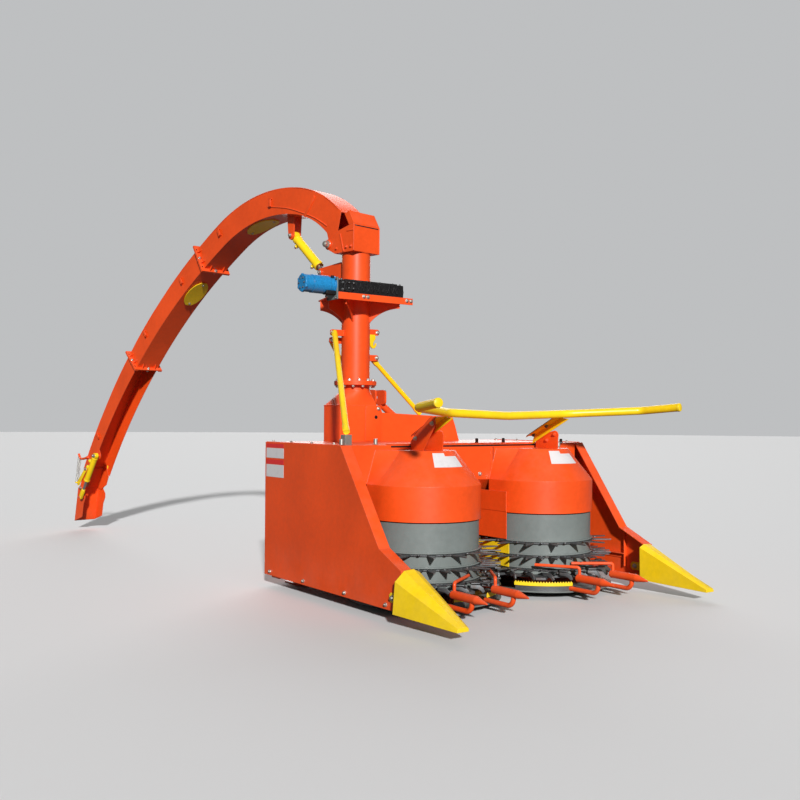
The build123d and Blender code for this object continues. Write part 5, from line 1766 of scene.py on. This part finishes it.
@dataclass
class Elbow:
    """Hinge nuts, folds and welds of the turning elbow, and the lift cylinder's fittings."""

    pivot: Pair = (0.132, 1.955)
    rod_eye: Pair = (0.285, 1.814)
    barrel_eye: Pair = (0.575, 2.079)

    def hinge_nuts(self) -> None:
        """Orange bosses under large nuts on the hinge bolts."""
        boss = Shape()
        for foot in PLANE.pair(self.pivot, 0.1015):
            boss.lathe(foot.at, foot.out, [(0.027, 0.0), (0.027, 0.007), (0.025, 0.0095), (0.010, 0.0095),
                                           (0.010, 0.0)], 36)
        boss.piece("hinge_bosses", ORANGE, Body.TURRET)
        BOLTS.fit(PLANE.pair(self.pivot, 0.111, 1.75), "hinge_nuts", Body.TURRET, Head=0.011)

    def folds(self) -> None:
        """Folded lips of the turning box."""
        shape = Shape()
        for sign in (-1, 1):
            for lip in (((-0.086, 2.020), (-0.030, 2.020), (-0.030, 2.012), (-0.086, 2.012)),
                        ((-0.006, 1.898), (0.004, 1.898), (0.034, 2.006), (0.024, 2.006))):
                shape.slab(PLANE.line(lip, sign * 0.1024), PLANE.way(0, 0, sign * 0.003), 0.0008)
        shape.piece("elbow_folds", ORANGE, Body.TURRET)

    def welds(self) -> None:
        """Beads round the upper tube and up the box's edges."""
        lines = [tube_bead(z, 40) for z in (1.892, 1.7145)]
        lines += [PLANE.line(((-0.088, 1.896), (-0.088, 2.054)), n) for n in (-0.102, 0.102)]
        WELDS.lay(lines, "elbow_welds", body=Body.TURRET, ripple=0.007)

    def cap_gap(self) -> None:
        """Black strip painted as the shadow line under the cap's edge."""
        box, inwards = Surface("elbow_box", "elbow_cap"), PLANE.way(1, 0)
        left, right = (box.hit(PLANE.at(-0.3, 2.046, n), inwards)[0] for n in (-0.094, 0.094))
        drop = Vector((0, 0, -0.006))
        # black strip that paints the shadow under the cap's overhang
        shape = Shape().slab([left, left + drop, right + drop, right], inwards * -0.0010, 0.0002)
        shape.piece("elbow_cap_gap", BLACK, Body.TURRET)

    def bolts(self) -> None:
        """Bolts of the box and its ring, and the nuts of the cylinder's pins."""
        low = [Place(PLANE.at(s, 1.922, sign * 0.1022), PLANE.way(0, 0, sign), 0.7) for sign in (-1, 1)
               for s in (-0.066, -0.026, 0.060)]
        BOLTS.fit(low, "elbow_box_bolts", Body.TURRET, ORANGE)
        BOLTS.fit(ring_places((*TOWER_AXIS, 1.7125), UP, 0.103, 10, 0.8, 12.0), "elbow_bolts", Body.TURRET)
        BOLTS.fit(PLANE.pair(self.rod_eye, 0.038), "rod_pin_nuts", Body.TURRET)
        BOLTS.fit(PLANE.pair(self.barrel_eye, 0.036), "barrel_pin_nuts", Body.SPOUT)

    def cylinder(self) -> None:
        """Gland, collars and ports of the lift cylinder."""
        start, end = PLANE.at(*self.barrel_eye), PLANE.at(*self.rod_eye)
        way, length = (end - start).normalized(), (end - start).length
        gland = start + way * (length - 0.066)
        collar = Shape().lathe(gland, way, [(0.0276, -0.026), (0.0310, -0.025), (0.0310, -0.004),
                                            (0.0290, 0.0008), (0.0175, 0.0010), (0.0175, -0.004)], 40)
        collar.lathe(start + way * 0.040, way,
                     [(0.0276, -0.004), (0.0305, -0.003), (0.0305, 0.012), (0.0276, 0.014)], 40)
        up = PLANE.way(0.67, -0.74, -0.25).normalized()
        up = (up - way * up.dot(way)).normalized()
        ports = []
        for run in (0.070, length - 0.110):
            foot = start + way * run + up * 0.022
            collar.rod(foot, foot + up * 0.016, 0.0125)
            ports.append(Place(foot + up * 0.016, up, 0.9))
        collar.piece("lift_cylinder_collars", YELLOW, Body.LIFT_BARREL)
        ring = Shape().lathe(gland, way, [(0.0172, -0.002), (0.0240, -0.001), (0.0240, 0.0030),
                                          (0.0172, 0.0045)], 40)
        ring.piece("lift_gland_ring", BRONZE, Body.LIFT_BARREL)
        BOLTS.fit(ports, "lift_port_bolts", Body.LIFT_BARREL)

    def build(self) -> None:
        """Make the elbow's details."""
        self.hinge_nuts()
        self.folds()
        self.welds()
        self.cap_gap()
        self.bolts()
        self.cylinder()


@dataclass
class Spout:
    """Collar bolts, clips, covers, strips and welds of the bent duct."""

    half: float = 0.089
    depth: float = 0.165
    joints: tuple[Pair, ...] = ((59.8, 0.165), (45.6, 0.150))
    strap_bridges: tuple[Pair, ...] = ((1.265, 2.180), (1.729, 1.899), (2.211, 1.550), (0.706, 2.295),
                                       (2.911, 0.777))
    first_reach_s: float = 1.28
    strip_line: tuple[Pair, ...] = ((0.737, 2.275), (0.553, 2.240), (0.415, 2.194), (0.272, 2.136),
                                    (0.162, 2.072))
    covers: tuple[tuple[str, float, float], ...] = (("crown", 0.905, 0.145), ("reach", 1.686, 0.125))
    stitches: tuple[Pair, ...] = ((132, 120), (112, 98), (90, 76), (71, 62))
    reach_stitches: tuple[Pair, ...] = ((58.5, 54), (51.5, 47), (44.5, 40.5), (37.5, 33))

    def collar_bolts(self) -> None:
        """One bolt through the middle of each of the joint collars' sides, and black discs painted as the
        shade in the corner holes.
        """
        places, corner_hole_shades, edge = [], Shape(), self.half + 0.0135
        for angle, depth in self.joints:
            for sign in (-1, 1):
                turn, way = angle - sign * 0.1, PLANE.along(angle) * sign
                for n in (-edge, edge):
                    places.append(Place(PLANE.on_arc("reach", turn, depth * 0.5, n), way, 0.9))
                    for below in (0.010, depth - 0.010):
                        foot = PLANE.on_arc("reach", turn, below, n)
                        # black disc that paints the shade inside a corner hole
                        corner_hole_shades.rod(foot, foot + way * 0.0012, 0.0055, ease=0.0003, steps=16)
                places.append(Place(PLANE.on_arc("reach", turn, depth + 0.0135), way, 0.9))
        BOLTS.fit(places, "collar_bolts", Body.SPOUT)
        corner_hole_shades.piece("collar_corner_holes", BLACK, Body.SPOUT)

    def collar_ears(self) -> None:
        """Three-cornered ribs that stand against the collars' uphill faces."""
        shape, tall, wide = Shape(), 0.040, 0.021
        for angle, depth in self.joints:
            up, out, turn = -PLANE.along(angle), PLANE.out(angle), angle + 0.12
            for sign in (-1, 1):
                for below in (0.038, depth - 0.038):
                    foot = PLANE.on_arc("reach", turn, below, sign * (self.half - 0.0005))
                    ear = [foot, foot + PLANE.way(0, 0, sign * wide), foot + up * tall]
                    shape.slab(ear, out * 0.005, 0.0006)
                foot = PLANE.on_arc("reach", turn, depth - 0.0005, sign * 0.052)
                shape.slab([foot, foot - out * wide, foot + up * tall], PLANE.way(0, 0, 0.005), 0.0006)
        shape.piece("collar_ribs", ORANGE, Body.SPOUT)

    def clips(self) -> None:
        """Strap bridges that hold a hose run on the left side, with the stiffening rib."""
        shape, stand = Shape(), PLANE.way(0, 0, -1)
        for s, z in self.strap_bridges:
            centre_s, centre_z, _ = PLANE.arc("crown" if s < self.first_reach_s else "reach")
            angle = degrees(atan2(z - centre_z, s - centre_s))
            out = PLANE.out(angle)
            turn = Matrix((PLANE.along(angle), out, stand)).transposed()
            spot = PLANE.at(s, z, -self.half)
            shape.block(spot + stand * 0.0125, (0.024, 0.053, 0.004), turn, 0.0012)
            for sign in (-1, 1):
                leg = spot + out * sign * 0.0245 + stand * 0.007
                shape.block(leg, (0.024, 0.004, 0.015), turn, 0.0012)
        rib = ((0.270, 2.262), (0.286, 2.274), (0.376, 2.165), (0.360, 2.152))
        shape.slab(PLANE.line(rib, -self.half), stand * 0.005, 0.001)
        shape.piece("spout_clips", ORANGE, Body.SPOUT)

    def side_strip(self) -> None:
        """Raised strip along the left side of the spout's first stretch."""
        points = PLANE.line(self.strip_line, -self.half - 0.0005)
        padded = [points[0], *points, points[-1]]
        bent = []
        for before, here, ahead, after in zip(padded, points, points[1:], padded[3:]):
            for share in (step / 6 for step in range(6)):
                bow = (here + ahead - before - after) * 0.25 * share * (1 - share)
                bent.append(here.lerp(ahead, share) + bow)
        Shape().tube([*bent, points[-1]], 0.0042, 10).piece("spout_side_strip", ORANGE, Body.SPOUT)

    def ovals(self) -> None:
        """Yellow oval inspection covers under the duct."""
        places = []
        for index, (name, s_middle, half_run) in enumerate(self.covers):
            s, _, radius = PLANE.arc(name)
            inner = radius - self.depth
            middle, half_turn = degrees(acos((s_middle - s) / inner)), degrees(half_run / inner)
            grids = [], []
            for reach in (-1 + row / 4 for row in range(9)):
                angle, wide = middle + reach * half_turn * 0.985, 0.072 * sqrt(1 - reach * reach * 0.9)
                for grid, below in zip(grids, (0.1652, 0.1702)):
                    grid.append([PLANE.on_arc(name, angle, below, (col / 8 - 1) * wide)
                                 for col in range(17)])
            Shape().skin(*grids).piece(f"oval_cover_{index + 1}", YELLOW, Body.SPOUT)
            for angle in (middle + half_turn * 0.82, middle - half_turn * 0.82):
                places.append(Place(PLANE.on_arc(name, angle, 0.170), -PLANE.out(angle), 0.7))
        BOLTS.fit(places, "cover_bolts", Body.SPOUT)

    def welds(self) -> None:
        """Long corner beads of the folded duct, in stitches."""
        edges, below = (-self.half - 0.0002, self.half + 0.0002), 0.0032
        lines = [PLANE.run(below, n, start, end) for n in edges for start, end in self.stitches]
        lines += [[PLANE.on_arc("reach", start + (end - start) * i / 6, below, n) for i in range(7)]
                  for start, end in self.reach_stitches for n in edges]
        WELDS.lay(lines, "spout_welds", body=Body.SPOUT, radius=0.0024, ripple=0.007)

    def build(self) -> None:
        """Make the spout's details."""
        self.collar_bolts()
        self.collar_ears()
        self.clips()
        self.side_strip()
        self.ovals()
        self.welds()


@dataclass
class Deflector:
    """Hook, springs, lever, cylinder fittings and bolts of the two-flap deflector."""

    hinge_a: Pair = (3.112, 0.506)
    hinge_b: Pair = (3.192, 0.350)
    spring_top: Pair = (3.212, 0.600)
    spring_foot: Pair = (3.251, 0.396)
    cylinder_eye: Pair = (2.904, 0.620)
    clevis: Pair = (3.144, 0.278)
    cylinder_side: float = -0.119
    springs_side: float = -0.097

    def strap(self, shape: Shape, points: Sequence[Pair], n: float, thick: float) -> None:
        """Add a flat plate outlined in the spout plane."""
        shape.slab(PLANE.line(points, n), PLANE.way(0, 0, thick), 0.0012)

    def hook(self) -> None:
        """Bent hook on the duct's end that the springs hang from."""
        line = ((3.080, 0.604), (3.110, 0.594), (3.145, 0.588), (3.178, 0.586), (3.200, 0.590),
                (3.216, 0.603), (3.230, 0.624))
        shape = Shape().tube(PLANE.line(line, self.springs_side), 0.0095, 16)
        self.strap(shape, ((3.060, 0.624), (3.118, 0.606), (3.124, 0.584), (3.072, 0.596)), -0.0925, 0.008)
        shape.piece("spring_hook", ORANGE, Body.SPOUT)

    def springs(self) -> None:
        """Twin tension springs between hook and lever."""
        for index, shift in enumerate((-0.008, 0.008)):
            n = self.springs_side + shift
            start, end = PLANE.at(*self.spring_top, n), PLANE.at(*self.spring_foot, n)
            spring = SPRINGS.hang(start, end, f"deflector_spring_{index + 1}", ZINC, Coil=0.0062, Wire=0.0016,
                                  Turns=32.0)
            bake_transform(spring)
            SHOP.report(spring, "spout and upper flap", ZINC)

    def lever(self) -> None:
        """Yellow lever outside the upper flap's left wall, with the bar that the springs pull."""
        shape = Shape()
        self.strap(shape, ((3.098, 0.500), (3.104, 0.518), (3.122, 0.520), (3.150, 0.494), (3.254, 0.400),
                           (3.258, 0.380), (3.248, 0.366), (3.230, 0.366), (3.214, 0.384), (3.128, 0.470)),
                   -0.0950, 0.005)
        shape.rod(PLANE.at(3.252, 0.390, -0.1130), PLANE.at(3.252, 0.390, -0.078), 0.0062)
        shape.piece("deflector_lever", YELLOW, Body.FLAP_UPPER)

    def far_lug(self) -> None:
        """Yellow lug and pin on the duct's right side."""
        lean = frame_of(PLANE.way(0.3, -0.9))
        lug = Shape().block(PLANE.at(3.092, 0.514, 0.0985), (0.030, 0.018, 0.030), lean, 0.004)
        lug.rod(PLANE.at(3.100, 0.500, 0.0900), PLANE.at(3.112, 0.500, 0.1180), 0.006)
        lug.piece("deflector_far_lug", YELLOW, Body.SPOUT)

    def cylinder_line(self) -> tuple[Vector, Vector, Vector]:
        """The cylinder's two ends, and the direction from the first to the other."""
        start, end = (PLANE.at(*eye, self.cylinder_side) for eye in (self.cylinder_eye, self.clevis))
        return start, end, (end - start).normalized()

    def barrel(self) -> None:
        """Collars, port bosses and port bolts of the cylinder's barrel."""
        start, _, way = self.cylinder_line()
        up = PLANE.way(0.819, 0.574, -0.2).normalized()
        collars, ports = Shape(), []
        for run in (0.078, 0.138):
            foot = start + way * run + up * 0.014
            collars.rod(foot, foot + up * 0.031, 0.0135)
            ports.append(Place(foot + up * 0.031, up, 0.9))
        for run in (0.018, 0.236):
            collars.lathe(start + way * run, way,
                          [(0.0222, -0.002), (0.0245, 0.0), (0.0245, 0.012), (0.0222, 0.014)], 32)
        collars.piece("deflector_cylinder_collars", YELLOW, Body.FLAP_BARREL)
        BOLTS.fit(ports, "deflector_port_bolts", Body.FLAP_BARREL)

    def rod(self) -> None:
        """Bright rod with its yellow clevis and bolt."""
        start, end, way = self.cylinder_line()
        bar = Shape().rod(start + way * 0.133, end - way * 0.060, 0.010)
        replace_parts(bar.piece("deflector_cylinder_rod_bar", BRIGHT, Body.FLAP_ROD), "deflector_rod")
        left = PLANE.way(0, 0, -1)
        turn = Matrix((way.cross(left), left, way)).transposed()
        fork = Shape().block(end - way * 0.0310, (0.034, 0.020, 0.082), turn, 0.004)
        fork.lathe(end - way * 0.080, way,
                   [(0.0, 0.0), (0.0135, 0.0), (0.0150, 0.002), (0.0150, 0.012), (0.0, 0.012)], 28)
        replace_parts(fork.piece("deflector_clevis", YELLOW, Body.FLAP_ROD), "deflector_rod")
        BOLTS.fit([Place(end + left * 0.0101, left, 0.7)], "deflector_clevis_bolt", Body.FLAP_ROD, Head=0.006,
                  Shank=0.001)

    def bolts(self) -> None:
        """Hinge bolts and the cylinder's upper bolt."""
        BOLTS.fit(PLANE.pair(self.hinge_a, 0.0955), "flap_hinge_bolts", Body.SPOUT)
        BOLTS.fit(PLANE.pair(self.hinge_b, 0.0955), "lower_flap_bolts", Body.FLAP_UPPER)
        eye = Place(PLANE.at(*self.cylinder_eye, -0.1345), PLANE.way(0, 0, -1), 1.2)
        BOLTS.fit([eye], "flap_cylinder_bolt", Body.SPOUT)

    def build(self) -> None:
        """Make the deflector's details."""
        self.hook()
        self.springs()
        self.lever()
        self.far_lug()
        self.barrel()
        self.rod()
        self.bolts()


@dataclass
class HitchAndDrive:
    """Rear details: gearbox ribs and bolts, shaft splines, hitch pins and welds."""

    shaft_z: float = 0.56
    shaft_radius: float = 0.01745

    def gearbox(self) -> None:
        """Ribs, cover ring, plugs and bolts of the gearbox."""
        rib = Shape().slab([(-0.110, 0, -0.003), (0.110, 0, -0.003), (0.110, 0, 0.003), (-0.110, 0, 0.003)],
                           (0, 0.007, 0), 0.0015)
        places = [Place((0, 1.0445, z), UP, 1.0, RIGHT) for z in (0.390, 0.415, 0.440, 0.465, 0.650)]
        PATTERN.repeat(rib, places, "gearbox_ribs", BLACK)
        cover = Shape().lathe((0, 1.070, self.shaft_z), REAR,
                              [(0.0600, -0.024), (0.0660, -0.023), (0.0660, -0.012), (0.0600, -0.010),
                               (0.0560, 0.0008), (0.0300, 0.0010), (0.0290, -0.004)], 48)
        cover.piece("gearbox_cover", BLACK)
        bolts = ring_places((0, 1.0705, self.shaft_z), REAR, 0.046, 6, 0.7)
        bolts += [Place((sign * 0.098, 1.045, z), REAR) for sign in (-1, 1) for z in (0.41, 0.63)]
        bolts += [Place((0.121, 0.99, 0.45), RIGHT, 1.1), Place((-0.121, 0.99, 0.60), LEFT, 1.1)]
        BOLTS.fit(bolts, "gearbox_bolts")

    def splines(self) -> None:
        """Six splines on the input stub."""
        key = Shape().slab([(-0.0036, 0, 0), (0.0036, 0, 0), (0.0036, 0, 0.070), (-0.0036, 0, 0.070)],
                           (0, 0.0022, 0), 0.0005)
        places = []
        for out in (Vector((cos(a), 0, sin(a))) for a in (tau * i / 6 for i in range(6))):
            spot = Vector((0, 1.092, self.shaft_z)) + out * (self.shaft_radius - 0.0003)
            places.append(Place(spot, REAR, 1.0, Vector(REAR).cross(out)))
        PATTERN.repeat(key, places, "shaft_splines", BRIGHT, Body.INPUT_SHAFT)

    def hitch(self) -> None:
        """Frame bolts and welds of the hitch."""
        places = [Place((sign * 0.350, 1.0055, z), REAR, 1.2) for sign in (-1, 1) for z in (0.15, 0.753)]
        BOLTS.fit(places, "hitch_bolts")
        lines = [[(sign * x, 1.006, z) for z in (0.185, 0.72)] for sign in (-1, 1) for x in (0.318, 0.382)]
        WELDS.lay(lines, "hitch_welds", ripple=0.007)

    def build(self) -> None:
        """Make the rear details."""
        self.gearbox()
        self.splines()
        self.hitch()


@dataclass
class Studio:
    """Floor, light and camera."""

    floor_seen: float = 0.74
    floor_bounce: float = 0.12
    floor_radius: float = 60.0
    sky_colour: Triple = (0.60, 0.61, 0.62)
    backdrop: float = 0.86
    fill: float = 0.24
    sun_power: float = 4.5
    back_power: float = 1.5
    sun_way: Triple = (-0.421, -0.826, 0.375)
    back_way: Triple = (0.52, 0.76, 0.38)
    eye: Triple = (-3.2659, -3.8082, 0.9213)
    yaw: float = 35.44
    pitch: float = 1.198
    roll: float = 0.339
    lens: float = 42.285
    sensor: float = 36.0
    sight: float = 200.0

    def floor(self) -> None:
        """Wide pale floor at the machine's feet."""
        disc = Shape().lathe((0, 0, CAD_BOX[0].z - 0.004), UP,
                             [(self.floor_radius, -0.05), (self.floor_radius, 0.0035)], 96)
        made = disc.item("studio_floor", WHITE_FILM)
        made.data.materials.clear()
        surface = bpy.data.materials.new("studio_floor")
        surface.use_nodes = True
        graph = Graph(surface.node_tree)
        seen = graph.add("ShaderNodeLightPath").outputs["Is Camera Ray"]
        tone = graph.mix(seen, rgba([self.floor_bounce] * 3), rgba([self.floor_seen] * 3))
        graph.feed(surface.node_tree.nodes["Principled BSDF"], {"Base Color": tone, "Roughness": 0.9})
        made.data.materials.append(surface)

    def light(self) -> None:
        """One low sun and a broad soft light behind it."""
        for name, power, way, spread in (("sun", self.sun_power, self.sun_way, 3.0),
                                         ("back_light", self.back_power, self.back_way, 50.0)):
            light = bpy.data.lights.new(name, "SUN")
            light.energy = power
            light.angle = radians(spread)
            lamp = bpy.data.objects.new(name, light)
            lamp.rotation_euler = Vector(way).to_track_quat("Z", "Y").to_euler()
            bpy.context.scene.collection.objects.link(lamp)

    def sky(self) -> None:
        """An even pale sky, brighter where it is seen than where it lights."""
        sky = bpy.data.worlds.new("studio_sky")
        sky.use_nodes = True
        graph = Graph(sky.node_tree)
        seen = graph.add("ShaderNodeLightPath").outputs["Is Camera Ray"]
        power = graph.ramp(seen, 0.0, 1.0, self.fill, self.backdrop)
        graph.feed(sky.node_tree.nodes["Background"], {0: rgba(self.sky_colour), 1: power})
        bpy.context.scene.world = sky

    def camera(self) -> None:
        """Camera at the machine's front left, a little above the ground."""
        yaw, pitch, roll = (radians(a) for a in (self.yaw, self.pitch, self.roll))
        ahead = Vector((sin(yaw) * cos(pitch), cos(yaw) * cos(pitch), sin(pitch)))
        level = Vector((cos(yaw), -sin(yaw), 0))
        over = level.cross(ahead)
        right = level * cos(roll) + over * sin(roll)
        up = -level * sin(roll) + over * cos(roll)
        data = bpy.data.cameras.new("camera")
        data.lens, data.sensor_width, data.clip_end = self.lens, self.sensor, self.sight
        made = bpy.data.objects.new("camera", data)
        made.matrix_world = Matrix.Translation(self.eye) @ Matrix((right, up, -ahead)).transposed().to_4x4()
        bpy.context.scene.collection.objects.link(made)
        bpy.context.scene.camera = made

    def build(self) -> None:
        """Set the stage."""
        self.floor()
        self.light()
        self.sky()
        self.camera()
        bpy.context.scene.view_settings.view_transform = "Standard"


def main() -> None:
    """Build every sub-assembly in order."""
    logging.basicConfig(level=logging.INFO, format="%(name)s: %(message)s")
    Studio().build()
    Dressing().dress()
    for part in (Rotor(Side.LEFT), Rotor(Side.RIGHT), Gathering(), BodyPanels(), PushBar(), Tower(), Elbow(),
                 Spout(), Deflector(), HitchAndDrive()):
        part.build()
        LOG.info("%s done, %d pieces so far", type(part).__name__, SHOP.count)


if __name__ == "__main__":
    main()
